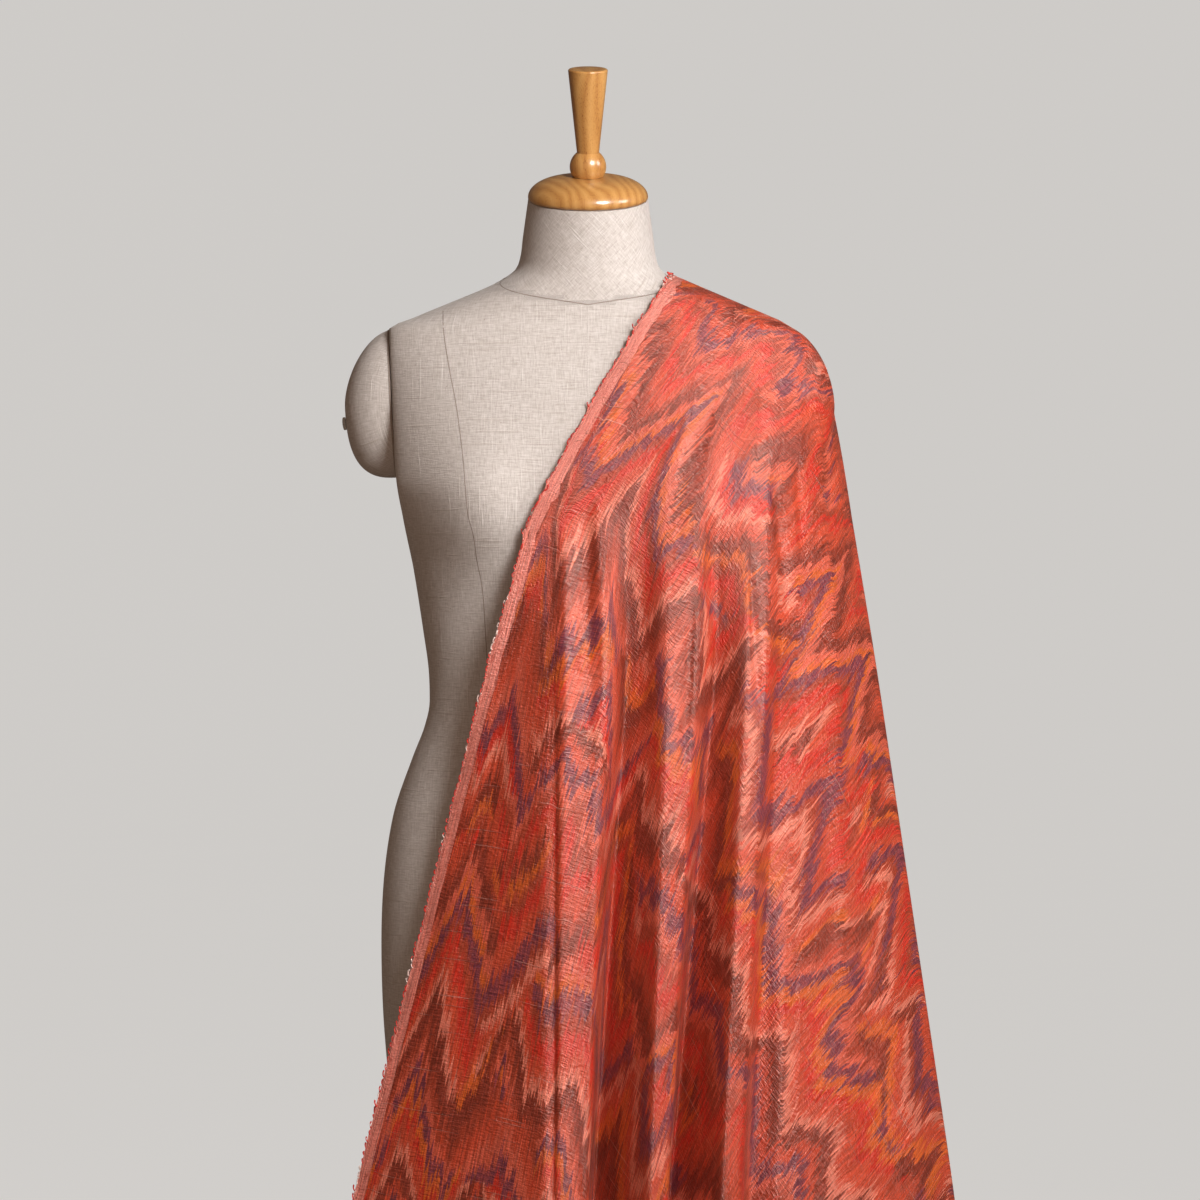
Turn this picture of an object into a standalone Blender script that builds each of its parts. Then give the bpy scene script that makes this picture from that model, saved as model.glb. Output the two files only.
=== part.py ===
"""A length of ikat cloth hung over one shoulder of a dress form on its stand.

Metres, +Z up, the form faces -Y. The origin is the middle of the stand's foot, on the floor.
The cloth is worked out from its fold lines: each row of FOLD_LINES is one crest, edge or root of a fold, with
its place on the shoulder ridge and in three level sections. It then lies clear of the form's taut outer hull.
"""

import math

import bmesh
import bpy
import numpy as np
from mathutils import Euler, Vector
from mathutils.bvhtree import BVHTree

# ---- driving sizes ----
GAP = 0.0003  # between pieces that touch

NECK_TILT = math.radians(13)  # the neck's top leans to the front
NECK_TOP = Vector((0, -0.011, 1.5648))
NECK_RADIUS = 0.052
LEAN_FROM, LEAN_TO = 1.475, 1.5648  # heights between which the neck takes up its lean

BUST_APEX = (0.100, 1.296)  # distance from the centre line, height
BUST_RISE = 0.026
BUST_SPREAD = (0.050, 0.056)
BLADE_APEX = (0.085, 1.385)
BLADE_RISE = 0.006
BLADE_SPREAD = (0.055, 0.060)

TORSO_SIDES = 44
TORSO_RING_STEP = 0.046
NECK_LIMIT_Z = 1.4995  # the cloth's hull takes in the form up to this height, below the neck

ARM_TOP = (0.1722, 1.4535)  # where the arm plate starts at the shoulder: x, z
ARM_BOTTOM = (0.1652, 1.3255)
ARM_DEPTH = 0.046  # half of the plate, front to back
ARM_BULGE = 0.0425
ARM_CENTRE_Y = 0.004
ARM_FULLNESS = {"top": 1.65, "side": 2.2, "bottom": 2.8}
ARM_RINGS, ARM_SIDES = 8, 28

STUD_RADIUS, STUD_THICKNESS = 0.0056, 0.0030
STUD_Z = 1.3725

CAP_RADIUS, CAP_HEIGHT, CAP_RIM = 0.0520, 0.0210, 0.0035
BEAD_RADIUS, BEAD_HEIGHT = 0.0158, 0.0210
HANDLE_FOOT_RADIUS, HANDLE_TOP_RADIUS, HANDLE_LENGTH = 0.0096, 0.0171, 0.0725
TURNED_STEPS = 32

TORSO_BOTTOM_Z = 0.780
BASE_RADIUS, BASE_THICKNESS, BASE_BOSS_RADIUS, BASE_HEIGHT = 0.190, 0.020, 0.034, 0.046
POLE_RADIUS = 0.0150

CLOTH_THICKNESS = 0.0016
CLOTH_CLEARANCE = 0.0036  # from the form to the middle of the cloth
CLOTH_LENGTH, CLOTH_WIDTH = 1.84, 1.12  # flat; its selvedge lies across the shoulder by the neck
ARM_SIDE_TURN = math.radians(62)  # in the flat cloth, between the selvedge and the line down the arm's side
CLOTH_SEAT = 0.0013  # the same along the shoulder ridge, where it rests
CHEST_Z, YOKE_Z, WAIST_Z, LOW_Z = 1.395, 1.290, 1.170, 0.700  # heights of the fold lines' sections
LOW_FLARE = 0.8  # how much of the folds' spread goes on below the low section
FOLD_SOFTNESS = 0.014  # half the length of cloth over which a fold's line is rounded
LEVEL_SOFTNESS = 0.045  # the same along a fold, at the waist section
COLUMN_CROWDING = 0.11  # above 0 the columns stand closer beside each fold line
CLOTH_ROWS = 26
ROW_CROWDING = 1.45  # above 1 the rows stand closer near the shoulder

# ---- tables ----
# The form's level sections. over is how far the oval would run past the half width, where the arm plate cuts
# it.
TORSO_COLUMNS = ("z", "half_width", "over", "front", "back", "squareness")
TORSO_SECTIONS = (
    (TORSO_BOTTOM_Z, 0.1720, 1.00, 0.1000, 0.1120, 2.30),
    (0.8600, 0.1785, 1.00, 0.1090, 0.1220, 2.30),
    (0.9200, 0.1800, 1.00, 0.1130, 0.1250, 2.30),
    (1.0300, 0.1700, 1.00, 0.1040, 0.1100, 2.30),
    (1.0833, 0.1523, 1.00, 0.0950, 0.0960, 2.25),
    (1.1094, 0.1422, 1.00, 0.0910, 0.0890, 2.20),
    (1.1320, 0.1378, 1.00, 0.0890, 0.0850, 2.20),
    (1.1600, 0.1388, 1.00, 0.0910, 0.0850, 2.20),
    (1.1890, 0.1428, 1.00, 0.0950, 0.0870, 2.20),
    (1.2480, 0.1520, 1.00, 0.1010, 0.0940, 2.30),
    (1.2930, 0.1605, 1.03, 0.1080, 0.1010, 2.40),
    (1.3250, 0.1651, 1.08, 0.1110, 0.1050, 2.40),
    (1.3670, 0.1674, 1.08, 0.1070, 0.1080, 2.40),
    (1.4100, 0.1697, 1.08, 0.0940, 0.1030, 2.30),
    (1.4410, 0.1714, 1.07, 0.0790, 0.0900, 2.20),
    (1.4545, 0.1721, 1.04, 0.0730, 0.0800, 2.10),
    (1.4639, 0.1522, 1.00, 0.0690, 0.0740, 2.00),
    (1.4774, 0.1195, 1.00, 0.0660, 0.0690, 2.00),
    (1.4918, 0.0848, 1.00, 0.0645, 0.0660, 2.00),
    (1.4984, 0.0725, 1.00, 0.0640, 0.0640, 2.00),
    (1.5052, 0.0632, 1.00, 0.0635, 0.0600, 2.00),
    (1.5144, 0.0592, 1.00, 0.0630, 0.0550, 2.00),
    (1.5310, 0.0568, 1.00, 0.0625, 0.0500, 2.00),
    (NECK_TOP.z, NECK_RADIUS, 1.00, 0.0630, 0.0410, 2.00),
)

# The shoulder ridge that the cloth lies over, from the neck to the end of the arm cap.
RIDGE_COLUMNS = ("share", "x", "z")
RIDGE = (
    (0.00, 0.0715, 1.5010),
    (0.25, 0.1000, 1.4880),
    (0.50, 0.1350, 1.4740),
    (0.75, 0.1690, 1.4585),
    (0.90, 0.1920, 1.4400),
    (1.00, 0.2050, 1.4180),
)

# Fold lines in the order met from the front selvedge to the line that runs down from the end of the shoulder
# ridge. steps is the number of columns before the next line, ridge the share of the shoulder ridge where the
# line starts, and forward the distance in front of the form's mid plane.
FRONT_COLUMNS = (
    "name", "steps", "ridge", "chest_x", "chest_forward", "yoke_x", "yoke_forward",
    "waist_x", "waist_forward", "low_x", "low_forward",
)
FRONT_LINES = (
    ("front selvedge", 7, 0.00, 0.0030, 0.112, -0.0495, 0.118, -0.0840, 0.115, -0.2035, 0.088),
    ("first crest", 3, 0.09, 0.0130, 0.112, -0.0220, 0.125, -0.0235, 0.150, -0.0283, 0.190),
    ("first edge", 3, 0.17, 0.0400, 0.113, 0.0068, 0.126, 0.0175, 0.147, 0.0000, 0.176),
    ("first root", 3, 0.25, 0.0600, 0.114, 0.0313, 0.124, 0.0330, 0.123, 0.0030, 0.108),
    ("second crest", 3, 0.36, 0.0880, 0.115, 0.0653, 0.130, 0.0672, 0.150, 0.0516, 0.188),
    ("second edge", 3, 0.44, 0.1100, 0.116, 0.0931, 0.131, 0.0940, 0.144, 0.0668, 0.174),
    ("second root", 3, 0.50, 0.1240, 0.112, 0.1115, 0.126, 0.1083, 0.120, 0.0670, 0.108),
    ("third crest", 3, 0.60, 0.1460, 0.104, 0.1375, 0.119, 0.1344, 0.142, 0.1117, 0.182),
    ("third edge", 2, 0.66, 0.1600, 0.098, 0.1539, 0.110, 0.1530, 0.135, 0.1277, 0.170),
    ("third root", 3, 0.70, 0.1690, 0.090, 0.1645, 0.099, 0.1618, 0.119, 0.1340, 0.136),
    ("side panel ridge", 3, 0.76, 0.1850, 0.072, 0.1826, 0.083, 0.1800, 0.104, 0.1600, 0.148),
    ("side panel middle", 4, 0.85, 0.2010, 0.040, 0.2065, 0.053, 0.2140, 0.070, 0.2230, 0.108),
    ("side panel far", 3, 0.92, 0.2110, 0.006, 0.2220, 0.018, 0.2355, 0.035, 0.2860, 0.052),
    ("arm side", 3, 0.96, 0.2150, -0.020, 0.2305, -0.013, 0.2505, 0.000, 0.3220, 0.000),
    ("arm root", 3, 0.98, 0.2160, -0.034, 0.2280, -0.033, 0.2420, -0.034, 0.2850, -0.055),
    ("arm crest", 3, 0.99, 0.2060, -0.046, 0.2240, -0.060, 0.2460, -0.085, 0.3160, -0.160),
)
BACK_COLUMNS = tuple(name for name in FRONT_COLUMNS if name != "ridge")
BACK_LINES = (
    ("ridge end", 5, 0.2030, -0.070, 0.2080, -0.076, 0.2140, -0.079, 0.2560, -0.085),
    ("second back crest", 6, 0.1840, -0.072, 0.1900, -0.106, 0.2010, -0.150, 0.2480, -0.248),
    ("second back root", 5, 0.1640, -0.096, 0.1600, -0.101, 0.1580, -0.106, 0.1820, -0.114),
    ("third back crest", 5, 0.1400, -0.088, 0.1380, -0.120, 0.1400, -0.164, 0.1600, -0.256),
    ("third back root", 5, 0.1150, -0.108, 0.1090, -0.111, 0.1040, -0.115, 0.1120, -0.128),
    ("fourth back crest", 5, 0.0880, -0.096, 0.0820, -0.130, 0.0760, -0.178, 0.0640, -0.290),
    ("fourth back root", 5, 0.0570, -0.109, 0.0470, -0.112, 0.0330, -0.116, 0.0080, -0.118),
    ("fifth back crest", 5, 0.0350, -0.098, 0.0220, -0.125, 0.0080, -0.162, -0.0300, -0.258),
    ("fifth back root", 5, 0.0120, -0.109, -0.0060, -0.111, -0.0240, -0.114, -0.0640, -0.124),
    ("sixth back crest", 6, -0.0060, -0.099, -0.0280, -0.120, -0.0500, -0.156, -0.1200, -0.250),
    ("back selvedge", 0, -0.0240, -0.102, -0.0520, -0.106, -0.0840, -0.112, -0.1920, -0.152),
)


# ---- small helpers ----
def column(rows, names, name):
    return np.array([row[names.index(name)] for row in rows], float)


def smoothstep(low, high, value):
    share = np.clip((value - low) / (high - low), 0, 1)
    return share * share * (3 - 2 * share)


def smooth_curve(xs, ys, at):
    """A cubic through the points that doesn't overshoot them."""
    slopes = np.diff(ys) / np.diff(xs)
    tangents = np.concatenate([slopes[:1], (slopes[:-1] + slopes[1:]) / 2, slopes[-1:]])
    tangents[1:-1][slopes[:-1] * slopes[1:] <= 0] = 0
    i = np.clip(np.searchsorted(xs, at) - 1, 0, len(xs) - 2)
    width = xs[i + 1] - xs[i]
    t = (at - xs[i]) / width
    return (
        (1 + 2 * t) * (1 - t) ** 2 * ys[i]
        + t * (1 - t) ** 2 * width * tangents[i]
        + t * t * (3 - 2 * t) * ys[i + 1]
        + t * t * (t - 1) * width * tangents[i + 1]
    )


def material(name, colour, roughness, metallic=0.0):
    made = bpy.data.materials.new(name)
    made.use_nodes = True
    shader = made.node_tree.nodes["Principled BSDF"]
    shader.inputs["Base Color"].default_value = (*colour, 1)
    shader.inputs["Roughness"].default_value = roughness
    shader.inputs["Metallic"].default_value = metallic
    return made


def add_object(name, mesh, finish, parent=None, location=(0, 0, 0), rotation=(0, 0, 0)):
    mesh.materials.append(finish)
    mesh.shade_smooth()
    mesh.set_sharp_from_angle(angle=math.radians(40))
    made = bpy.data.objects.new(name, mesh)
    bpy.context.scene.collection.objects.link(made)
    made.parent = parent
    made.location = location
    made.rotation_euler = rotation
    return made


def rings_to_mesh(name, rings):
    """A closed solid from rings of equally many points, with a flat face over the first and the last ring."""
    sides = len(rings[0])
    points = [tuple(point) for ring in rings for point in ring]
    faces = [tuple(range(sides))[::-1]]
    for r in range(len(rings) - 1):
        for k in range(sides):
            after = (k + 1) % sides
            faces.append((r * sides + k, r * sides + after, (r + 1) * sides + after, (r + 1) * sides + k))
    faces.append(tuple(range((len(rings) - 1) * sides, len(rings) * sides)))
    mesh = bpy.data.meshes.new(name)
    mesh.from_pydata(points, [], faces)
    mesh.validate()
    return mesh


def turned_mesh(name, profile):
    """A solid of revolution about Z. profile is (radius, height) from the bottom of the axis to its top."""
    shape = bmesh.new()
    points = [shape.verts.new((radius, 0, height)) for radius, height in profile]
    edges = [shape.edges.new(pair) for pair in zip(points, points[1:])]
    bmesh.ops.spin(
        shape, geom=points + edges, axis=(0, 0, 1), cent=(0, 0, 0), steps=TURNED_STEPS, angle=math.tau,
        use_merge=True,
    )
    bmesh.ops.remove_doubles(shape, verts=shape.verts, dist=1e-6)
    bmesh.ops.recalc_face_normals(shape, faces=shape.faces)
    mesh = bpy.data.meshes.new(name)
    shape.to_mesh(mesh)
    shape.free()
    return mesh


def arc(centre, radius, start_deg, end_deg, steps):
    """Points of a round stretch of a turned profile."""
    angles = np.radians(np.linspace(start_deg, end_deg, steps))
    return [(centre[0] + radius * math.cos(a), centre[1] + radius * math.sin(a)) for a in angles]


# ---- the form ----
def mound(x, z, apex, spread, rise):
    return rise * np.exp(-(((np.abs(x) - apex[0]) / spread[0]) ** 2) - ((z - apex[1]) / spread[1]) ** 2)


def torso_ring(z):
    heights = column(TORSO_SECTIONS, TORSO_COLUMNS, "z")
    size = {
        name: smooth_curve(heights, column(TORSO_SECTIONS, TORSO_COLUMNS, name), z)
        for name in TORSO_COLUMNS[1:]
    }
    turn = np.linspace(0, math.tau, TORSO_SIDES, endpoint=False)
    c, s = np.cos(turn), np.sin(turn)
    power = 2 / size["squareness"]
    x = size["half_width"] * size["over"] * np.sign(c) * np.abs(c) ** power
    x = np.clip(x, -size["half_width"], size["half_width"])
    y = np.where(s < 0, size["front"], size["back"]) * np.sign(s) * np.abs(s) ** power
    y -= np.where(s < 0, -s, 0) * mound(x, z, BUST_APEX, BUST_SPREAD, BUST_RISE)
    y += np.where(s > 0, s, 0) * mound(x, z, BLADE_APEX, BLADE_SPREAD, BLADE_RISE)
    lean = smoothstep(LEAN_FROM, LEAN_TO, z)
    return np.stack([x, y, z + lean * math.tan(NECK_TILT) * (y - NECK_TOP.y)], axis=1)


def torso_mesh():
    heights = column(TORSO_SECTIONS, TORSO_COLUMNS, "z")
    levels = [heights[0]]
    for low, high in zip(heights, heights[1:]):
        steps = max(1, math.ceil((high - low) / TORSO_RING_STEP))
        levels.extend(low + (high - low) * np.arange(1, steps + 1) / steps)
    return rings_to_mesh("torso", [torso_ring(z) for z in levels])


def arm_cap_mesh():
    """A dome on the YZ plane that bulges to +X. Its fullness differs at the top, the sides and the bottom."""
    half_height = math.hypot(ARM_TOP[0] - ARM_BOTTOM[0], ARM_TOP[1] - ARM_BOTTOM[1]) / 2
    turn = np.linspace(0, math.tau, ARM_SIDES, endpoint=False)
    up = np.sin(turn)
    ends = np.where(up > 0, ARM_FULLNESS["top"], ARM_FULLNESS["bottom"])
    fullness = ARM_FULLNESS["side"] + (ends - ARM_FULLNESS["side"]) * np.abs(up)
    rings = []
    for k in range(ARM_RINGS):
        out = math.sin(math.radians(82) * k / (ARM_RINGS - 1))
        shrink = (1 - out**fullness) ** (1 / fullness)
        y = ARM_DEPTH * shrink * np.cos(turn)
        z = half_height * shrink * up
        rings.append(np.stack([np.full(ARM_SIDES, ARM_BULGE * out), y, z], axis=1))
    return rings_to_mesh("arm_cap", rings)


def surface_of(piece):
    shape = bmesh.new()
    shape.from_mesh(piece.data)
    shape.transform(piece.matrix_world)
    shape.normal_update()
    tree = BVHTree.FromBMesh(shape)
    shape.free()
    return tree


def make_form(linen, wood, metal):
    make_torso = add_object("torso", torso_mesh(), linen)
    lean = math.atan2(ARM_TOP[0] - ARM_BOTTOM[0], ARM_TOP[1] - ARM_BOTTOM[1])
    middle_x = (ARM_TOP[0] + ARM_BOTTOM[0]) / 2 + GAP
    middle_z = (ARM_TOP[1] + ARM_BOTTOM[1]) / 2
    arms = {}
    for name, side in (("arm_cap_left", 1), ("arm_cap_right", -1)):
        # The form's own left arm is at +X; the other is turned half round, so its lean changes sign.
        arms[name] = add_object(
            name,
            arm_cap_mesh(),
            linen,
            location=(side * middle_x, ARM_CENTRE_Y, middle_z),
            rotation=(0, lean, 0 if side > 0 else math.pi),
        )
    stud = turned_mesh(
        "arm_stud",
        [(0, 0)]
        + [(STUD_RADIUS, 0), (STUD_RADIUS, STUD_THICKNESS * 0.7)]
        + [(STUD_RADIUS * 0.7, STUD_THICKNESS), (0, STUD_THICKNESS)],
    )
    bpy.context.view_layer.update()
    from_outside = Vector((-1, ARM_CENTRE_Y, STUD_Z))
    seat, outward, _, _ = surface_of(arms["arm_cap_right"]).ray_cast(from_outside, Vector((1, 0, 0)))
    facing = outward.to_track_quat("Z", "Y").to_euler()
    add_object("arm_stud", stud, metal, location=seat + outward * GAP, rotation=facing)
    head = bpy.data.objects.new("neck_axis", None)
    bpy.context.scene.collection.objects.link(head)
    head.location = NECK_TOP
    head.rotation_euler = (NECK_TILT, 0, 0)
    add_object("neck_cap", neck_cap_mesh(), wood, parent=head, location=(0, 0, GAP))
    add_object("finial", finial_mesh(), wood, parent=head, location=(0, 0, CAP_HEIGHT + 2 * GAP))
    return make_torso, arms["arm_cap_left"]


def neck_cap_mesh():
    rim = CAP_RIM
    flat_top = BEAD_RADIUS + 0.003
    dome = [
        (flat_top + (CAP_RADIUS - flat_top) * math.cos(a), rim + (CAP_HEIGHT - rim) * math.sin(a))
        for a in np.radians(np.linspace(0, 90, 8))
    ]
    edge = arc((CAP_RADIUS - rim, rim), rim, -70, -12, 5)
    return turned_mesh("neck_cap", [(0, 0), (CAP_RADIUS - rim - 0.003, 0)] + edge + dome + [(0, CAP_HEIGHT)])


def finial_mesh():
    centre = BEAD_HEIGHT - math.sqrt(BEAD_RADIUS**2 - HANDLE_FOOT_RADIUS**2)
    foot = -math.degrees(math.asin(centre / BEAD_RADIUS))
    top = math.degrees(math.acos(HANDLE_FOOT_RADIUS / BEAD_RADIUS))
    bead = arc((0, centre), BEAD_RADIUS, foot, top, 9)
    edge = 0.0012
    handle = [
        (HANDLE_TOP_RADIUS, BEAD_HEIGHT + HANDLE_LENGTH - edge),
        (HANDLE_TOP_RADIUS - edge, BEAD_HEIGHT + HANDLE_LENGTH),
        (0, BEAD_HEIGHT + HANDLE_LENGTH),
    ]
    return turned_mesh("finial", [(0, 0)] + bead + handle)


def make_stand(wood):
    round_edge = BASE_THICKNESS / 2
    rim = arc((BASE_RADIUS - round_edge, round_edge), round_edge, -90, 90, 7)
    cove = BASE_HEIGHT - BASE_THICKNESS
    boss = [
        (BASE_BOSS_RADIUS + cove - cove * math.sin(a), BASE_HEIGHT - cove * math.cos(a))
        for a in np.radians(np.linspace(0, 75, 5))
    ]
    base = turned_mesh("base", [(0, 0)] + rim + boss + [(BASE_BOSS_RADIUS, BASE_HEIGHT), (0, BASE_HEIGHT)])
    add_object("base", base, wood)
    length = TORSO_BOTTOM_Z - BASE_HEIGHT - 2 * GAP
    pole = turned_mesh("pole", [(0, 0), (POLE_RADIUS, 0), (POLE_RADIUS, length), (0, length)])
    add_object("pole", pole, wood, location=(0, 0, BASE_HEIGHT + GAP))


# ---- the cloth ----
def hull_of(form, arm):
    """The taut outer shape of the shoulders and trunk, over which cloth spans every hollow."""
    bpy.context.view_layer.update()
    shape = bmesh.new()
    for piece in (form, arm):
        for vertex in piece.data.vertices:
            place = piece.matrix_world @ vertex.co
            if place.z < NECK_LIMIT_Z:
                shape.verts.new(place)
    made = bmesh.ops.convex_hull(shape, input=shape.verts)
    spare = set(made["geom_interior"] + made["geom_unused"])
    loose = [part for part in spare if isinstance(part, bmesh.types.BMVert)]
    bmesh.ops.delete(shape, geom=loose, context="VERTS")
    bmesh.ops.recalc_face_normals(shape, faces=shape.faces)
    tree = BVHTree.FromBMesh(shape)
    shape.free()
    return tree


def clear_of(trees, points, clearance):
    """The points, each moved straight out of a surface it is inside of or nearer to than the clearance."""
    moved = []
    for point in points:
        point = Vector(point)
        for tree in trees:
            place, normal, _, distance = tree.find_nearest(point)
            height = (point - place).dot(normal)
            if height < 0 or distance < clearance:
                point = place + (normal if height < 0 else (point - place).normalized()) * clearance
        moved.append(point)
    return np.array(moved)


def before_hull(tree, path, side, clearance):
    """The path pushed to the front (side -1) or the back (side 1), wherever it would run inside the hull."""
    pushed = []
    for point in path:
        hit, normal, _, _ = tree.ray_cast(Vector((point[0], side, point[2])), Vector((0, -side, 0)))
        y = point[1]
        if hit is not None and side * (hit.y - y) > 0:
            y = hit.y
        pushed.append((point[0], y, point[2]))
    return clear_of([tree], pushed, clearance)


def line_values(name):
    return np.concatenate([column(FRONT_LINES, FRONT_COLUMNS, name), column(BACK_LINES, BACK_COLUMNS, name)])


def fold_knots():
    """Where each fold line stands along the cloth, as a length measured in the low section."""
    x, forward = line_values("low_x"), line_values("low_forward")
    return np.concatenate([[0], np.cumsum(np.hypot(np.diff(x), np.diff(forward)))])


def column_places():
    """Place along the cloth of each column: every fold line has one, with its steps before the next line."""
    knots = fold_knots()
    places = []
    for k, steps in enumerate(line_values("steps").astype(int)[:-1]):
        t = np.arange(steps) / steps
        t = t - COLUMN_CROWDING * np.sin(math.tau * t)
        places.append(knots[k] + (knots[k + 1] - knots[k]) * t)
    return np.concatenate(places + [knots[-1:]])


def along_folds(name, at):
    """One column of the fold lines at any place along the cloth, with each fold line rounded."""
    knots, values = fold_knots(), line_values(name)
    spread = np.linspace(-1, 1, 9)
    weights = 1 - np.abs(spread) * 0.8
    room = np.minimum(at - knots[0], knots[-1] - at)[:, None]
    reach = np.minimum(FOLD_SOFTNESS, room) * spread[None, :]
    return (np.interp(at[:, None] + reach, knots, values) * weights).sum(1) / weights.sum()


def hang(places, z):
    """Plan position (x, forward) of each cloth column at height z, on straight lines eased at the waist."""
    spread = np.linspace(-1, 1, 7)
    found = np.zeros((len(places["yoke"]), 2))
    for share in spread:
        level = z + share * LEVEL_SOFTNESS
        if level > WAIST_Z:
            upper = (YOKE_Z - level) / (YOKE_Z - WAIST_Z)
            found += places["yoke"] + upper * (places["waist"] - places["yoke"])
        else:
            lower = (WAIST_Z - level) / (WAIST_Z - LOW_Z)
            lower = min(lower, 1) + LOW_FLARE * max(lower - 1, 0)
            found += places["waist"] + lower * (places["low"] - places["waist"])
    return found / len(spread)


def ridge_shares(at):
    """Each column's share of the shoulder ridge. Columns the same number from either end meet there."""
    half = len(at) // 2
    knots = fold_knots()[: len(FRONT_LINES) + 1]
    starts = np.append(column(FRONT_LINES, FRONT_COLUMNS, "ridge"), 1.0)
    front = smooth_curve(knots, starts, at[: half + 1])
    return np.concatenate([front, front[:-1][::-1]])


def ridge_points(share):
    ridge_share = column(RIDGE, RIDGE_COLUMNS, "share")
    x = smooth_curve(ridge_share, column(RIDGE, RIDGE_COLUMNS, "x"), share)
    z = smooth_curve(ridge_share, column(RIDGE, RIDGE_COLUMNS, "z"), share)
    return np.stack([x, np.zeros(len(share)), z], axis=1)


def level_points(plan, z):
    return np.stack([plan[:, 0], -plan[:, 1], np.full(len(plan), z)], axis=1)


def column_paths(hull, at):
    """For each column a fine path from the shoulder ridge down to the floor's height, clear of the hull."""
    places = {
        level: np.stack([along_folds(level + "_x", at), along_folds(level + "_forward", at)], axis=1)
        for level in ("chest", "yoke", "waist", "low")
    }
    start = clear_of([hull], ridge_points(ridge_shares(at)), CLOTH_SEAT)
    fall = [level_points(hang(places, z), z) for z in np.linspace(YOKE_Z, 0.0, 60)]
    chest = level_points(places["chest"], CHEST_Z)
    shoulder = []
    for t in np.linspace(0, 1, 40)[:-1] ** 1.6:
        shoulder.append((1 - t) ** 2 * start + 2 * t * (1 - t) * chest + t * t * fall[0])
    made = []
    for path in np.concatenate([shoulder, fall]).transpose(1, 0, 2):
        side = -1 if path[len(shoulder)][1] < 0 else 1
        made.append(np.concatenate([path[:1], before_hull(hull, path[1:], side, CLOTH_CLEARANCE)]))
    return np.array(made)


def flat_lengths(at):
    """How long each column is, from the ridge to the cloth's edge, by its direction in the flat cloth."""
    knots = fold_knots()
    arm_side = knots[[row[0] for row in FRONT_LINES].index("arm side")]
    turn = np.interp(at, [0, arm_side, knots[-1]], [0, ARM_SIDE_TURN, math.pi])
    share = ridge_shares(at)
    fine = ridge_points(np.linspace(0, 1, 50))
    run = np.concatenate([[0], np.cumsum(np.linalg.norm(np.diff(fine, axis=0), axis=1))])
    along_ridge = np.interp(share, np.linspace(0, 1, 50), run)
    to_end = CLOTH_LENGTH / 2 / np.maximum(np.abs(np.cos(turn)), 1e-6)
    to_side = (CLOTH_WIDTH - along_ridge) / np.maximum(np.sin(turn), 1e-6)
    return np.minimum(to_end, to_side)


def cloth_grid(hull, body):
    """Points of the cloth's middle surface, shape (columns, rows, 3)."""
    at = column_places()
    shares = np.linspace(0, 1, CLOTH_ROWS + 1) ** ROW_CROWDING
    grid = []
    for path, length in zip(column_paths(hull, at), flat_lengths(at)):
        run = np.concatenate([[0], np.cumsum(np.linalg.norm(np.diff(path, axis=0), axis=1))])
        points = np.stack([np.interp(shares * length, run, path[:, k]) for k in range(3)], axis=1)
        seat = clear_of([hull, body], points[:1], CLOTH_SEAT)
        grid.append(np.concatenate([seat, clear_of([hull, body], points[1:], CLOTH_CLEARANCE)]))
    return lift_middles([hull, body], np.array(grid))


def lift_middles(trees, grid):
    """The grid with each face's middle clear too. The ridge keeps its seat, so the row below it rises."""
    for _ in range(3):
        lift = np.zeros_like(grid)
        middles = (grid[:-1, :-1] + grid[1:, :-1] + grid[1:, 1:] + grid[:-1, 1:]) / 4
        for c, r in np.ndindex(middles.shape[:2]):
            clearance = CLOTH_SEAT if r == 0 else CLOTH_CLEARANCE * 0.8
            raised = clear_of(trees, middles[c, r][None], clearance)[0] - middles[c, r]
            corners = (slice(c, c + 2), slice(max(r, 1), r + 2))
            higher = np.linalg.norm(lift[corners], axis=2) < np.linalg.norm(raised)
            lift[corners][higher] = raised * (2 if r == 0 else 1)
        grid = grid + lift
    return grid


def make_cloth(hull, body, silk):
    add_object("ikat_cloth", sheet_mesh("ikat_cloth", cloth_grid(hull, body)), silk)


def sheet_mesh(name, grid):
    """A closed sheet about the grid's surface. Its front and back halves are one cloth along the ridge."""
    columns, rows = grid.shape[:2]
    middle = bmesh.new()
    made = {}
    for c in range(columns):
        for r in range(rows):
            mirrored = columns - 1 - c
            if r == 0 and mirrored < c:
                made[c, r] = made[mirrored, r]
            else:
                made[c, r] = middle.verts.new(grid[c, r])
    for c in range(columns - 1):
        for r in range(rows - 1):
            corners = [made[c, r], made[c, r + 1], made[c + 1, r + 1], made[c + 1, r]]
            middle.faces.new(list(dict.fromkeys(corners)))
    middle.verts.index_update()
    middle.normal_update()
    count = len(middle.verts)
    half = CLOTH_THICKNESS / 2
    points = [v.co + v.normal * half for v in middle.verts] + [v.co - v.normal * half for v in middle.verts]
    faces = []
    for face in middle.faces:
        corners = [v.index for v in face.verts]
        faces.append(corners)
        faces.append([k + count for k in reversed(corners)])
        for loop in face.loops:
            if loop.edge.is_boundary:
                start, stop = loop.vert.index, loop.link_loop_next.vert.index
                faces.append([stop, start, start + count, stop + count])
    middle.free()
    mesh = bpy.data.meshes.new(name)
    mesh.from_pydata(points, [], faces)
    mesh.validate()
    return mesh


def clear_scene():
    for old in list(bpy.data.objects):
        bpy.data.objects.remove(old)


def main():
    clear_scene()
    linen = material("linen", (0.62, 0.56, 0.50), 0.9)
    wood = material("wood", (0.60, 0.35, 0.14), 0.3)
    metal = material("metal", (0.70, 0.70, 0.68), 0.35, 1.0)
    silk = material("silk", (0.80, 0.22, 0.16), 0.5)
    form, arm = make_form(linen, wood, metal)
    make_stand(wood)
    make_cloth(hull_of(form, arm), surface_of(form), silk)


main()
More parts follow.
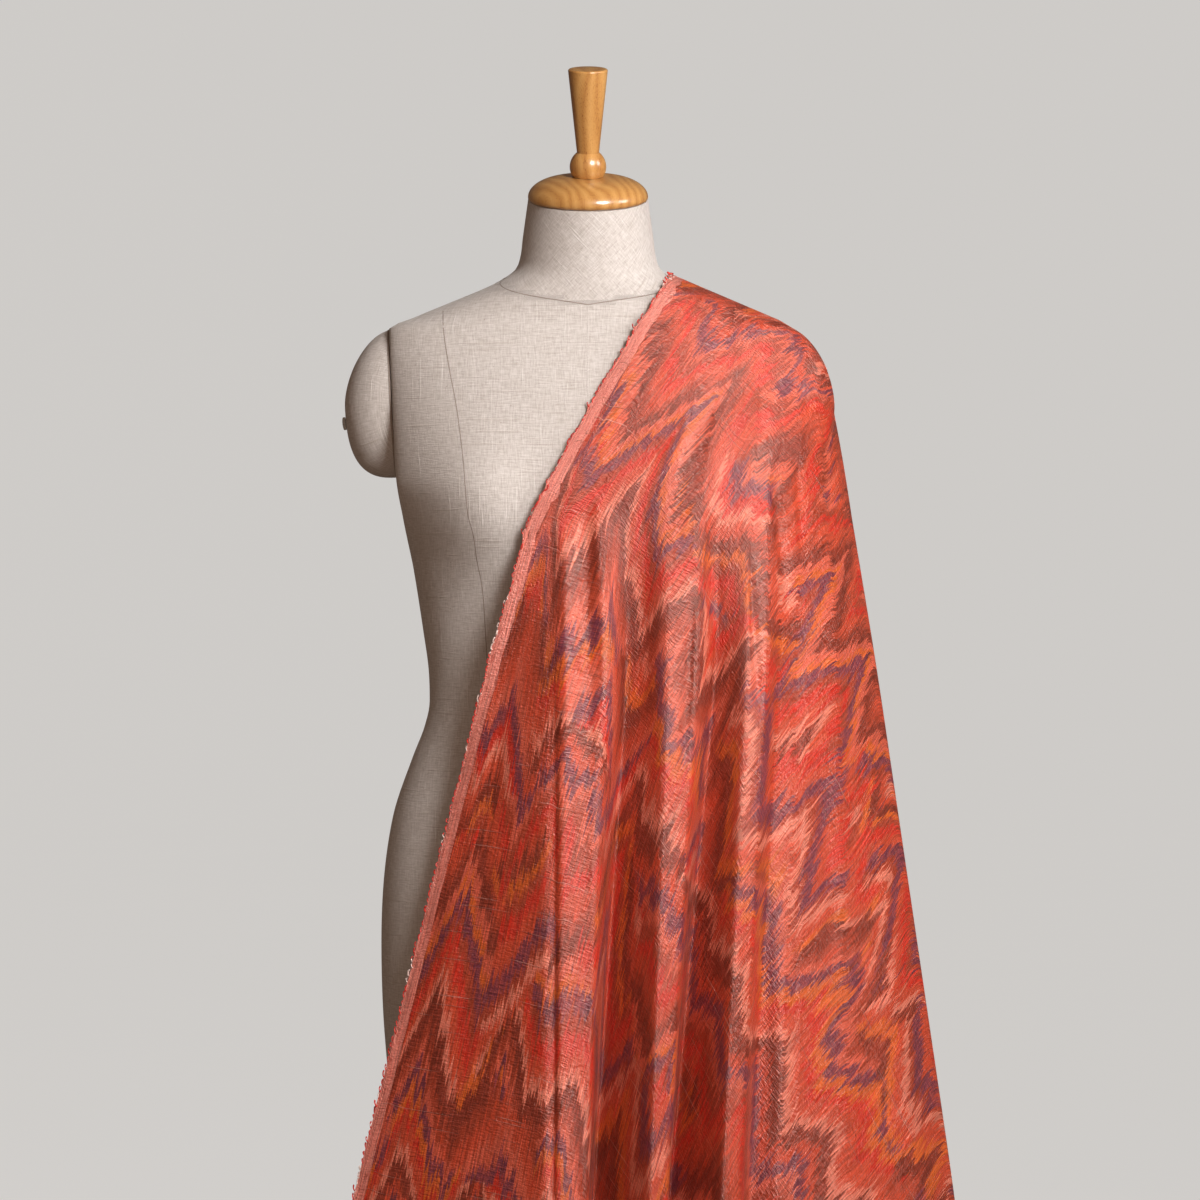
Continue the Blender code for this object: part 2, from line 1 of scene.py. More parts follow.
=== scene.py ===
"""The looks of a length of ikat silk hung over one shoulder of a linen dress form on its stand.

Metres, +Z up, the form faces -Y and the cloth hangs over its left shoulder, at +X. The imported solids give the
sizes. Finer pieces stand in their place here, each with a finish of its own.
"""

import math

import bmesh
import bpy
import numpy as np
from mathutils import Euler, Matrix, Vector
from mathutils.bvhtree import BVHTree
from mathutils.kdtree import KDTree


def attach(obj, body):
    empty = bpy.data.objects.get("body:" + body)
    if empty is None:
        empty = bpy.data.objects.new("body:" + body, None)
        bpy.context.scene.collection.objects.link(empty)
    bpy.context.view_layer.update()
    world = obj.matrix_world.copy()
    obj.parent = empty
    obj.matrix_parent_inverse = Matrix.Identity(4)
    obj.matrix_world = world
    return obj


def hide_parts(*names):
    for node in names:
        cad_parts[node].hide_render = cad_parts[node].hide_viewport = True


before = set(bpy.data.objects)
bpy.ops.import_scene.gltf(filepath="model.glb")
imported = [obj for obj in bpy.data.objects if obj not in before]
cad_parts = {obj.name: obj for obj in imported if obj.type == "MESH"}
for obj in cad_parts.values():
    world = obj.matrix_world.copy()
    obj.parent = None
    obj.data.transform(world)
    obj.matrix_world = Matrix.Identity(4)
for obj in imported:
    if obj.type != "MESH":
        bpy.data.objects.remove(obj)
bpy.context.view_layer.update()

# ---- sizes of the form ----
GAP = 0.0003  # between pieces that stand on each other
NECK_TILT = math.radians(13)
NECK_TOP = Vector((0, -0.011, 1.5648))
LEAN_FROM, LEAN_TO = 1.475, 1.5648
BUST_APEX, BUST_RISE, BUST_SPREAD = (0.100, 1.296), 0.026, (0.050, 0.056)
BLADE_APEX, BLADE_RISE, BLADE_SPREAD = (0.085, 1.385), 0.006, (0.055, 0.060)
FORM_SIDES = 208
FORM_RING_STEP = 0.0050
EDGE_SOFTNESS = 0.0014  # how softly the arm plate's edge is turned
# The bottom edge of the cover is turned under.
HEM_INSETS, HEM_RISE, HEM_HALF_WIDTH, HEM_HALF_DEPTH = (0.0016, 0.0060), 0.0018, 0.15, 0.10
BIAS_SCALE = 0.7071  # the neck's linen is cut on the bias
NECK_LIMIT_Z = 1.4995  # the cloth spans nothing above this

ARM_TOP, ARM_BOTTOM = (0.1722, 1.4535), (0.1652, 1.3255)
ARM_DEPTH, ARM_BULGE, ARM_CENTRE_Y = 0.046, 0.0425, 0.004
ARM_FULLNESS = {"top": 1.65, "side": 2.2, "bottom": 2.8}
ARM_DOME_TURN = math.radians(87)
ARM_RINGS, ARM_SIDES = 30, 96

STUD_RADIUS, STUD_THICKNESS, STUD_Z = 0.0056, 0.0030, 1.3725
STUD_STRAIGHT = 0.6  # the share of its thickness below the rounded edge
CAP_RADIUS, CAP_HEIGHT, CAP_RIM, CAP_INSET = 0.0520, 0.0210, 0.0035, 0.003
BEAD_RADIUS, BEAD_HEIGHT = 0.0158, 0.0210
HANDLE_FOOT_RADIUS, HANDLE_TOP_RADIUS, HANDLE_LENGTH, HANDLE_EDGE = 0.0096, 0.0171, 0.0725, 0.0016
TURNED_STEPS = 144
POINT_WELD = 1e-6  # points nearer to each other than this are one
TINY = 1e-6
TORSO_BOTTOM_Z = 0.780
BASE_RADIUS, BASE_THICKNESS, BASE_BOSS_RADIUS, BASE_HEIGHT, BASE_LIP = 0.190, 0.020, 0.034, 0.046, 0.0012
POLE_RADIUS, POLE_EDGE = 0.0150, 0.001
SEAM_HALF_WIDTH, SEAM_RISE = 0.0005, 0.00018
SEAM_FOOT_Z, CENTRE_SEAM_FRONT_Z, CENTRE_SEAM_BACK_Z = 0.786, 1.472, 1.500
SEAM_STEPS, NECK_SEAM_STEPS = 180, 145
SEAM_PAINTED_SHADE = (0.58, 0.53, 0.49)  # painted shade: the seams' linen is drawn this much darker than the rest, for the shade along each seam
EDGING_HALF_WIDTH, EDGING_RISE = 0.0009, 0.0006

# ---- sizes of the cloth ----
CLOTH_CLEARANCE, CLOTH_SEAT = 0.0030, 0.0011  # from the form, and from it on the shoulder
SURFACE_REACH = 0.0060  # a point deeper than this under a surface belongs to another side of it
CLOTH_LENGTH, CLOTH_WIDTH = 1.84, 1.12
ARM_SIDE_TURN = math.radians(62)  # how far the threads have turned at the arm
CHEST_Z, YOKE_Z, WAIST_Z, LOW_Z = 1.395, 1.290, 1.170, 0.700
LOW_FLARE = 0.8  # below LOW_Z the folds spread by this share of their slope above it
FOLD_SOFTNESS, FOLD_SAMPLES, FOLD_FADE = 0.009, 17, 0.8
LEVEL_SOFTNESS, LEVEL_SAMPLES = 0.045, 9
FALL_STEPS, SHOULDER_STEPS, SHOULDER_CROWDING, RIDGE_STEPS = 130, 80, 1.6, 50
COLUMN_CROWDING = 0.11
COLUMNS_PER_STEP = 4
CLOTH_ROWS = 228
ROW_CROWDING = 1.20
EASE_ROUNDS = 3
CREASE_END_EASE = 0.7  # how abruptly a crease begins and ends: less is more abrupt
SELVEDGE_WIDTH, SELVEDGE_LINE_WIDTH = 0.0105, 0.0010
SMALL_ZIGZAG_WIDTH = 0.0125
PICOT_SPACING, PICOT_SIZE, PICOT_THREAD = 0.0064, 0.0017, 0.00072  # the loops of thread at the selvedge
LOOP_START, LOOP_SWEEP = math.radians(-10), math.radians(200)
LOOP_STRAY, LOOP_TILT = 0.0007, (0.7, 0.15, 0.2)  # tilt in radians, either way
LOOP_SCALES = (0.9, 0.40, 0.9), (1.5, 0.75, 1.2)  # the smallest and the largest
EDGE_WAVE, EDGE_WAVE_REACH = 0.00035, 0.012
EDGE_WAVES = ((1.0, 0.043, 1.0), (0.7, 0.027, 4.0), (0.8, 0.071, 2.0))  # share, length, phase
EDGE_COLUMNS = 64  # how many columns beside a hanging selvedge are measured from it
EDGE_FINENESS = 12
END_SLANT, END_SLANT_WIDTH = 0.026, 0.24  # the cut end isn't quite square to the selvedge
RUN_SPREAD = 8  # over how many columns the cloth's length is evened

# ---- the light and the view ----
# name, place, aim, size, power, spread in degrees, colour, whether shiny surfaces mirror it
LAMPS = (
    ("key", (1.70, -3.12, 2.90), (-0.06, 0, 1.58), 1.7, 25.6, 62, (1.0, 0.985, 0.975), True),
    ("side", (3.2, -1.2, 2.6), (0.12, 0, 1.50), 1.3, 7.4, 62, (1.0, 0.985, 0.975), True),
    ("back", (0.0, 4.1, 1.9), (0, 0, 1.1), 2.4, 120, 180, (1.0, 0.97, 0.94), False),
    ("fill", (-0.6, -4.2, 1.5), (0, 0, 1.2), 3.0, 30, 180, (1.0, 0.72, 0.56), False),
)
ROOM_COLOUR, ROOM_STRENGTH = (1.0, 0.72, 0.55, 1), 0.125
VIEW_DISTANCE, VIEW_RISE = 4.35, math.radians(1.5)
VIEW_TARGET = Vector((0.0104, 0, 1.219))
VIEW_WIDTH = 1.044  # what is seen of the form's mid plane, from side to side
SENSOR_WIDTH = 36

# ---- tables ----
# The form's sections: height, half width, how far it would bulge past the arm plates, depth in front, depth
# behind, squareness.
TORSO_SECTIONS = (
    (TORSO_BOTTOM_Z, 0.172, 1, 0.1, 0.112, 2.3),
    (0.86, 0.1785, 1, 0.109, 0.122, 2.3),
    (0.92, 0.18, 1, 0.113, 0.125, 2.3),
    (1.03, 0.17, 1, 0.104, 0.11, 2.3),
    (1.0833, 0.1523, 1, 0.095, 0.096, 2.25),
    (1.1094, 0.1422, 1, 0.091, 0.089, 2.2),
    (1.132, 0.1378, 1, 0.089, 0.085, 2.2),
    (1.16, 0.1388, 1, 0.091, 0.085, 2.2),
    (1.189, 0.1428, 1, 0.095, 0.087, 2.2),
    (1.248, 0.152, 1, 0.101, 0.094, 2.3),
    (1.293, 0.1605, 1.03, 0.108, 0.101, 2.4),
    (1.325, 0.1651, 1.08, 0.111, 0.105, 2.4),
    (1.367, 0.1674, 1.08, 0.107, 0.108, 2.4),
    (1.41, 0.1697, 1.08, 0.094, 0.103, 2.3),
    (1.441, 0.1714, 1.07, 0.079, 0.09, 2.2),
    (1.4545, 0.1721, 1.04, 0.073, 0.08, 2.1),
    (1.4639, 0.1522, 1, 0.069, 0.074, 2),
    (1.4774, 0.1195, 1, 0.066, 0.069, 2),
    (1.4918, 0.0848, 1, 0.0645, 0.066, 2),
    (1.4984, 0.0725, 1, 0.064, 0.064, 2),
    (1.5052, 0.0632, 1, 0.0635, 0.06, 2),
    (1.5144, 0.0592, 1, 0.063, 0.055, 2),
    (1.531, 0.0568, 1, 0.0625, 0.05, 2),
    (NECK_TOP.z, 0.052, 1, 0.063, 0.041, 2),
)
# The shoulder ridge: share of its length, x, height.
RIDGE = (
    (0, 0.0715, 1.501),
    (0.25, 0.1, 1.488),
    (0.5, 0.135, 1.474),
    (0.75, 0.169, 1.4585),
    (0.9, 0.192, 1.44),
    (1, 0.205, 1.418),
)
# Fold lines from the front selvedge to the line down from the end of the shoulder ridge. forward is the
# distance in front of the form's mid plane.
FRONT_COLUMNS = (
    "name", "steps", "ridge", "chest_x", "chest_forward", "yoke_x", "yoke_forward",
    "waist_x", "waist_forward", "low_x", "low_forward",
)
FRONT_LINES = (
    ("front selvedge", 7, 0, 0.003, 0.112, -0.0495, 0.118, -0.084, 0.115, -0.2035, 0.088),
    ("first crest", 3, 0.09, 0.013, 0.112, -0.022, 0.125, -0.0235, 0.15, -0.0283, 0.19),
    ("first edge", 3, 0.17, 0.04, 0.113, 0.0068, 0.126, 0.0175, 0.147, 0, 0.176),
    ("first root", 3, 0.25, 0.06, 0.114, 0.0313, 0.124, 0.033, 0.123, 0.003, 0.108),
    ("second crest", 3, 0.36, 0.088, 0.115, 0.0653, 0.13, 0.0672, 0.15, 0.0516, 0.188),
    ("second edge", 3, 0.44, 0.11, 0.116, 0.0931, 0.131, 0.094, 0.144, 0.0668, 0.174),
    ("second root", 3, 0.5, 0.124, 0.112, 0.1115, 0.126, 0.1083, 0.12, 0.067, 0.108),
    ("third crest", 3, 0.6, 0.146, 0.104, 0.1375, 0.119, 0.1344, 0.142, 0.1117, 0.182),
    ("third edge", 2, 0.66, 0.16, 0.098, 0.1539, 0.11, 0.153, 0.135, 0.1277, 0.17),
    ("third root", 3, 0.7, 0.169, 0.09, 0.1645, 0.099, 0.1618, 0.119, 0.134, 0.136),
    ("side panel ridge", 3, 0.76, 0.185, 0.072, 0.1826, 0.083, 0.18, 0.104, 0.16, 0.148),
    ("side panel middle", 4, 0.85, 0.201, 0.04, 0.2065, 0.053, 0.214, 0.07, 0.223, 0.108),
    ("side panel far", 3, 0.92, 0.211, 0.006, 0.222, 0.018, 0.2355, 0.035, 0.286, 0.052),
    ("arm side", 3, 0.96, 0.215, -0.02, 0.2305, -0.013, 0.2505, 0, 0.322, 0),
    ("arm root", 3, 0.98, 0.216, -0.034, 0.228, -0.033, 0.242, -0.034, 0.285, -0.055),
    ("arm crest", 3, 0.99, 0.206, -0.046, 0.224, -0.06, 0.246, -0.085, 0.316, -0.16),
)
BACK_COLUMNS = tuple(name for name in FRONT_COLUMNS if name != "ridge")
BACK_LINES = (
    ("ridge end", 5, 0.203, -0.07, 0.208, -0.076, 0.214, -0.079, 0.256, -0.085),
    ("second back crest", 6, 0.184, -0.072, 0.19, -0.106, 0.201, -0.15, 0.248, -0.248),
    ("second back root", 5, 0.164, -0.096, 0.16, -0.101, 0.158, -0.106, 0.182, -0.114),
    ("third back crest", 5, 0.14, -0.088, 0.138, -0.12, 0.14, -0.164, 0.16, -0.256),
    ("third back root", 5, 0.115, -0.108, 0.109, -0.111, 0.104, -0.115, 0.112, -0.128),
    ("fourth back crest", 5, 0.088, -0.096, 0.082, -0.13, 0.076, -0.178, 0.064, -0.29),
    ("fourth back root", 5, 0.057, -0.109, 0.047, -0.112, 0.033, -0.116, 0.008, -0.118),
    ("fifth back crest", 5, 0.035, -0.098, 0.022, -0.125, 0.008, -0.162, -0.03, -0.258),
    ("fifth back root", 5, 0.012, -0.109, -0.006, -0.111, -0.024, -0.114, -0.064, -0.124),
    ("sixth back crest", 6, -0.006, -0.099, -0.028, -0.12, -0.05, -0.156, -0.12, -0.25),
    ("back selvedge", 0, -0.024, -0.102, -0.052, -0.106, -0.084, -0.112, -0.192, -0.152),
)
# Small creases of the cloth: side (-1 is the front), x and height of the top, x and height of the foot, half
# width, and rise (above 0 a ridge, below it a trough).
CREASES = (
    (-1, -0.021, 1.33, -0.053, 1.235, 0.0042, -0.003),
    (-1, -0.0185, 1.29, -0.0175, 1.07, 0.0068, 0.0034),
    (-1, -0.001, 1.315, 0.001, 1.07, 0.0058, -0.0034),
    (-1, 0.0105, 1.33, 0.0205, 1.1, 0.008, 0.0032),
    (-1, 0.05, 1.305, 0.044, 1.09, 0.0085, -0.003),
    (-1, 0.087, 1.395, 0.052, 1.275, 0.011, 0.0022),
    (-1, 0.054, 1.415, 0.01, 1.29, 0.009, -0.002),
    (-1, 0.129, 1.385, 0.112, 1.26, 0.01, -0.0022),
    (-1, 0.107, 1.298, 0.1065, 1.2, 0.006, -0.0036),
    (-1, 0.089, 1.23, 0.08, 1.06, 0.004, -0.0034),
    (-1, 0.0905, 1.02, 0.07, 0.972, 0.0034, -0.0018),
    (-1, 0.137, 1.275, 0.145, 1.12, 0.0034, -0.0034),
    (-1, 0.1575, 1.335, 0.171, 1.21, 0.0044, -0.0024),
    (-1, 0.179, 1.345, 0.185, 1.245, 0.0042, -0.0022),
    (-1, 0.178, 1.245, 0.178, 1.06, 0.012, -0.0032),
    (-1, 0.198, 1.12, 0.215, 0.86, 0.01, -0.003),
    (-1, 0.205, 1.36, 0.211, 1.24, 0.005, -0.0018),
    (-1, -0.0285, 1.16, -0.03, 0.45, 0.0042, -0.0044),
    (-1, -0.001, 1.14, -0.004, 0.62, 0.003, -0.003),
    (-1, -0.06, 1.19, -0.098, 0.96, 0.01, -0.0022),
    (-1, -0.11, 1, -0.135, 0.73, 0.012, 0.0026),
    (-1, 0.156, 1.03, 0.164, 0.76, 0.0075, 0.0026),
    (1, 0.125, 1.43, 0.095, 1.29, 0.011, -0.0024),
    (1, 0.07, 1.455, 0.03, 1.32, 0.01, -0.0022),
    (1, 0.162, 1.42, 0.168, 1.28, 0.01, -0.0022),
    (1, 0.025, 1.35, 0.002, 1.15, 0.008, 0.0026),
    (1, 0.118, 1.3, 0.116, 1.12, 0.008, -0.0028),
    (1, -0.055, 1.12, -0.085, 0.89, 0.01, -0.0024),
)
# Seams of the form's linen cover, as distance from the centre line at each height, for one half.
PRINCESS_SEAM = (
    (0.125, 1.469), (0.1238, 1.452), (0.1182, 1.4182), (0.1127, 1.3909), (0.1086, 1.3643),
    (0.1054, 1.3386), (0.1035, 1.3157), (0.1014, 1.2946), (0.0967, 1.2752), (0.0943, 1.2557),
    (0.0902, 1.2338), (0.0883, 1.2092), (0.086, 1.15), (0.088, 1.06), (0.098, 0.94),
    (0.096, SEAM_FOOT_Z),
)
# The seam round the neck: angle from the front in degrees, and height.
NECK_SEAM = ((0, 1.4735), (42, 1.482), (90, 1.4985), (180, 1.508))


# ---- small helpers ----
def column(rows, names, name):
    return np.array([row[names.index(name)] for row in rows], float)


def smoothstep(low, high, value):
    share = np.clip((value - low) / (high - low), 0, 1)
    return share * share * (3 - 2 * share)


def smooth_curve(xs, ys, at):
    """A cubic through the points that doesn't overshoot them."""
    slopes = np.diff(ys) / np.diff(xs)
    tangents = np.concatenate([slopes[:1], (slopes[:-1] + slopes[1:]) / 2, slopes[-1:]])
    tangents[1:-1][slopes[:-1] * slopes[1:] <= 0] = 0
    i = np.clip(np.searchsorted(xs, at) - 1, 0, len(xs) - 2)
    width = xs[i + 1] - xs[i]
    t = (at - xs[i]) / width
    return (
        (1 + 2 * t) * (1 - t) ** 2 * ys[i]
        + t * (1 - t) ** 2 * width * tangents[i]
        + t * t * (3 - 2 * t) * ys[i + 1]
        + t * t * (t - 1) * width * tangents[i + 1]
    )


def run_along(points):
    """The length run from the first point of each path to every point. points is (..., count, 3)."""
    steps = np.linalg.norm(np.diff(points, axis=-2), axis=-1)
    return np.concatenate([np.zeros(steps.shape[:-1] + (1,)), np.cumsum(steps, axis=-1)], axis=-1)


def arc(centre, radius, start_deg, end_deg, steps):
    angles = np.radians(np.linspace(start_deg, end_deg, steps))
    return [(centre[0] + radius * math.cos(a), centre[1] + radius * math.sin(a)) for a in angles]


def unit(vectors):
    return vectors / np.linalg.norm(vectors, axis=-1, keepdims=True)


def full_turn(count):
    return np.linspace(0, math.tau, count, endpoint=False)


def shape_of(mesh):
    shape = bmesh.new()
    shape.from_mesh(mesh)
    return shape


def tree_of(mesh):
    shape = shape_of(mesh)
    shape.normal_update()
    tree = BVHTree.FromBMesh(shape)
    shape.free()
    return tree


def outward_mesh(shape, mesh, weld=0.0):
    """The shape put into the mesh, with its doubled points joined and its faces turned outward."""
    if weld:
        bmesh.ops.remove_doubles(shape, verts=shape.verts, dist=weld)
    bmesh.ops.recalc_face_normals(shape, faces=shape.faces)
    shape.to_mesh(mesh)
    shape.free()
    return mesh


def give(tree, inputs, values):
    """Set or link the inputs of a node, by name or by number."""
    live = {socket.name: socket for socket in inputs if socket.enabled}
    for key, value in values.items():
        socket = inputs[key] if isinstance(key, int) else live[key]
        if isinstance(value, bpy.types.NodeSocket):
            tree.links.new(value, socket)
        elif isinstance(value, tuple) and socket.type == "RGBA" and len(value) == 3:
            socket.default_value = (*value, 1)
        else:
            socket.default_value = value


def add_node(tree, kind, values, **settings):
    """The outputs of a new node that are in use. values says what its inputs are given."""
    made = tree.nodes.new(kind)
    for name, value in settings.items():
        setattr(made, name, value)
    give(tree, made.inputs, values)
    return [socket for socket in made.outputs if socket.enabled]


def placed_object(name, data):
    made = bpy.data.objects.new(name, data)
    bpy.context.scene.collection.objects.link(made)
    return made


# ---- mesh makers ----
def grid_mesh(name, grid, places, closed=False, capped=False):
    """Quads over a grid of points (rows, across, 3), with the thread places (rows, across, 2) as a UV map.

    Where closed is set the last column joins the first, and places has one more column than the grid."""
    rows, across = grid.shape[:2]
    faces, corners = [], []
    for r in range(rows - 1):
        low, high = r * across, (r + 1) * across
        for k in range(across if closed else across - 1):
            after = (k + 1) % across
            faces.append((low + k, low + after, high + after, high + k))
            corners.extend([(r, k), (r, k + 1), (r + 1, k + 1), (r + 1, k)])
    uv = [tuple(places[at]) for at in corners]
    if capped:
        for r, turn in ((0, -1), (rows - 1, 1)):
            ring = list(range(r * across, (r + 1) * across))[::turn]
            faces.append(tuple(ring))
            uv.extend((float(grid[r, k % across][0]), float(grid[r, k % across][1])) for k in ring)
    mesh = bpy.data.meshes.new(name)
    mesh.from_pydata([tuple(p) for p in grid.reshape(-1, 3)], [], faces)
    layer = mesh.uv_layers.new(name="threads")
    layer.data.foreach_set("uv", np.array(uv, np.float32).ravel())
    return mesh


def turned_mesh(name, profile, steps=TURNED_STEPS, weld=POINT_WELD):
    """A solid of revolution about Z. profile is (radius, height) from the bottom of the axis to its top."""
    shape = bmesh.new()
    points = [shape.verts.new((radius, 0, height)) for radius, height in profile]
    edges = [shape.edges.new(pair) for pair in zip(points, points[1:])]
    bmesh.ops.spin(
        shape, geom=points + edges, axis=(0, 0, 1), cent=(0, 0, 0), steps=steps, angle=math.tau,
        use_merge=True,
    )
    return outward_mesh(shape, bpy.data.meshes.new(name), weld)


def welt_mesh(name, centres, normals, half_width, rise, sides=8):
    """A fine rounded cord along a path on a surface, flattened to the surface, closed at both ends."""
    centres, normals = np.array(centres), np.array(normals)
    across = np.cross(unit(np.gradient(centres, axis=0)), normals)
    turn = full_turn(sides)
    grid = (
        centres[:, None]
        + half_width * np.cos(turn)[None, :, None] * across[:, None]
        + rise * np.sin(turn)[None, :, None] * normals[:, None]
    )
    around = np.linspace(0, 4 * half_width, sides + 1)
    places = np.stack(np.meshgrid(around, run_along(centres)), axis=2)
    mesh = grid_mesh(name, grid, places, closed=True, capped=True)
    return outward_mesh(shape_of(mesh), mesh)


def add_piece(name, mesh, finish, stands_for=(), sharp_deg=40):
    mesh.materials.clear()
    mesh.materials.append(finish)
    mesh.shade_smooth()
    mesh.set_sharp_from_angle(angle=math.radians(sharp_deg))
    piece = placed_object(name, mesh)
    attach(piece, "root")
    if stands_for:
        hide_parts(*stands_for)
    return piece


# ---- finishes ----
class Finish:
    """A material's nodes. Each method adds to them and returns the socket that feeds the next one."""

    def __init__(self, name):
        self.material = bpy.data.materials.new(name)
        self.material.use_nodes = True
        self.tree = self.material.node_tree
        self.shader = self.tree.nodes["Principled BSDF"]

    def node(self, kind, values, **settings):
        return add_node(self.tree, "ShaderNode" + kind, values, **settings)

    def calc(self, operation, *values):
        return self.node("Math", dict(enumerate(values)), operation=operation)[0]

    def total(self, *terms):
        """The terms added up. A term may be a pair of a value and its weight."""
        terms = [self.calc("MULTIPLY", *term) if isinstance(term, tuple) else term for term in terms]
        found = terms[0]
        for term in terms[1:]:
            found = self.calc("ADD", found, term)
        return found

    def object_place(self):
        return next(socket for socket in self.node("TexCoord", {}) if socket.name == "Object")

    def thread_place(self):
        return self.node("UVMap", {}, uv_map="threads")[0]

    def parts(self, vector):
        return self.node("SeparateXYZ", {0: vector})

    def noise(self, at, scale, detail=2.0, rough=0.5, offset=(0, 0, 0)):
        """Soft noise with a scale of its own along each direction."""
        stretched = self.node("Mapping", {"Vector": at, "Scale": (*scale, 1)[:3], "Location": offset})[0]
        return self.node(
            "TexNoise", {"Vector": stretched, "Scale": 1.0, "Detail": detail, "Roughness": rough}
        )[0]

    def threads(self, at, fine, long):
        """Uneven threads along the warp and along the weft."""
        return [self.noise(at, scale, detail=3, rough=0.65) for scale in ((fine, long), (long, fine))]

    def swing(self, at, scale, detail=1.0, **more):
        """Noise about 0."""
        return self.calc("SUBTRACT", self.noise(at, scale, detail, **more), 0.5)

    def ranged(self, value, low, high, to_low=0.0, to_high=1.0, interpolation="LINEAR"):
        values = dict(enumerate((value, low, high, to_low, to_high)))
        return self.node("MapRange", values, interpolation_type=interpolation)[0]

    def spots(self, at, scale, *levels, detail=1.0, offset=(0, 0, 0), interpolation="LINEAR"):
        """Noise made into spots. levels is the noise where they begin and end, then what to give there."""
        return self.ranged(self.noise(at, scale, detail, offset=offset), *levels, interpolation=interpolation)

    def mix(self, share, first, second, blend="MIX"):
        return self.node("Mix", {0: share, 6: first, 7: second}, data_type="RGBA", blend_type=blend)[0]

    def over(self, base, colour, mask, strength):
        """The base with a colour laid over it, by a mask and a strength."""
        return self.mix(self.calc("MULTIPLY", mask, strength), base, colour)

    def ramp(self, value, stops, interpolation="LINEAR"):
        outputs = self.node("ValToRGB", {0: value})
        ramp = outputs[0].node.color_ramp
        ramp.interpolation = interpolation
        while len(ramp.elements) < len(stops):
            ramp.elements.new(1.0)
        for element, (place, colour) in zip(ramp.elements, stops):
            element.position = place
            element.color = (*colour, 1)
        return outputs[0]

    def bump(self, height, strength, distance):
        return self.node("Bump", {"Strength": strength, "Distance": distance, "Height": height})[0]

    def finish(self, colour, roughness, **more):
        values = {"Base Color": colour, "Roughness": roughness, **more}
        give(self.tree, self.shader.inputs, {name.replace("_", " "): value for name, value in values.items()})
        return self.material


def linen_finish(name="linen", shade=(1.0, 1.0, 1.0)):
    """Unbleached linen: uneven threads both ways, with a slub and a dark fleck here and there. shade darkens it
    all, as painted shade for the seams.
    """
    f = Finish(name)
    at = f.thread_place()
    warp, weft = f.threads(at, 820, 105)
    weave = f.total((warp, 0.5), (weft, 0.5))
    slub_up = f.spots(at, (380, 18), 0.63, 0.74)
    slub_across = f.spots(at, (18, 380), 0.63, 0.74, offset=(3, 7, 0))
    fleck = f.spots(at, (330, 420), 0.74, 0.80, offset=(1, 5, 0))
    cloud = f.spots(at, (9, 9), 0.3, 0.7, 0.0, 0.20, detail=3)
    base = f.mix(f.ranged(weave, 0.38, 0.62), (0.410, 0.362, 0.328), (0.610, 0.565, 0.535))
    base = f.mix(cloud, base, (0.46, 0.410, 0.370))
    base = f.over(base, (0.70, 0.66, 0.62), slub_up, 0.35)
    base = f.over(base, (0.34, 0.28, 0.23), slub_across, 0.30)
    base = f.over(base, (0.20, 0.15, 0.11), fleck, 0.5)
    # shade multiplies the colour: painted shade where the seams take it, none elsewhere
    base = f.mix(1.0, base, shade, "MULTIPLY")
    height = f.total(weave, (f.total(slub_up, slub_across), 0.30))
    return f.finish(
        base, f.ranged(weave, 0.3, 0.7, 0.95, 0.82), Normal=f.bump(height, 0.8, 0.0009),
        Sheen_Weight=0.12, Sheen_Roughness=0.5, Specular_IOR_Level=0.2,
    )


def wood_finish():
    """Honey-coloured turned wood under a clear varnish."""
    f = Finish("wood")
    at = f.object_place()
    x, y, z = f.parts(at)
    ring = f.calc("PINGPONG", f.total((x, 95), (y, 42), (z, 9), (f.noise(at, (16, 16, 4)), 4.5)), 0.5)
    fibre = f.noise(at, (1100, 1100, 28), detail=3)
    pores = f.spots(at, (1500, 1500, 34), 0.58, 0.70, 0.0, 0.30, offset=(2, 0, 0))
    shade = f.total((ring, 0.85), (fibre, 0.55), pores)
    base = f.ramp(shade, (
        (0.10, (0.58, 0.325, 0.108)), (0.45, (0.50, 0.250, 0.074)), (0.75, (0.39, 0.170, 0.043)),
        (0.95, (0.24, 0.088, 0.019)),
    ))
    return f.finish(
        base, f.ranged(fibre, 0.3, 0.7, 0.26, 0.38), Normal=f.bump(shade, 0.08, 0.0004),
        Coat_Weight=0.55, Coat_Roughness=0.08, Specular_IOR_Level=0.5,
    )


def metal_finish():
    f = Finish("stud_metal")
    brushed = f.noise(f.object_place(), (300, 300, 4000))
    base = f.mix(brushed, (0.72, 0.71, 0.69), (0.88, 0.87, 0.85))
    roughness = f.ranged(brushed, 0.3, 0.7, 0.22, 0.38)
    return f.finish(base, roughness, Normal=f.bump(brushed, 0.1, 0.0002), Metallic=1.0)


def dyed_bands(f, line, bands):
    """The dyed bands that follow each other along a thread, again and again. bands is (colour, width)."""
    total = sum(width for _, width in bands)
    stops, place = [], 0.0
    for colour, width in bands:
        stops.append((place / total, colour))
        place += width
    repeats = f.calc("FRACT", f.calc("MULTIPLY", f.calc("ADD", line, 3.0), 1 / total))
    return f.ramp(repeats, stops, "CONSTANT")


def zigzag_line(f, at, half_period, sway_offset, reach_offset):
    """How far a band has moved along the warp at each thread: a big zigzag with a small one on it."""
    u, v, _ = f.parts(at)
    sway = f.swing(at, (7, 3.5), offset=sway_offset)
    big = f.calc("PINGPONG", f.total(u, (sway, 0.055)), half_period)
    reach = f.spots(at, (6, 3), 0.32, 0.68, 0.9, 2.3, detail=0, offset=reach_offset)
    small = f.calc("PINGPONG", f.total(u, (sway, 0.05)), SMALL_ZIGZAG_WIDTH)
    small_reach = f.spots(at, (9, 5), 0.50, 0.68, 0.0, 1.6, detail=0, offset=reach_offset)
    return f.total(v, (big, reach), (small, small_reach))


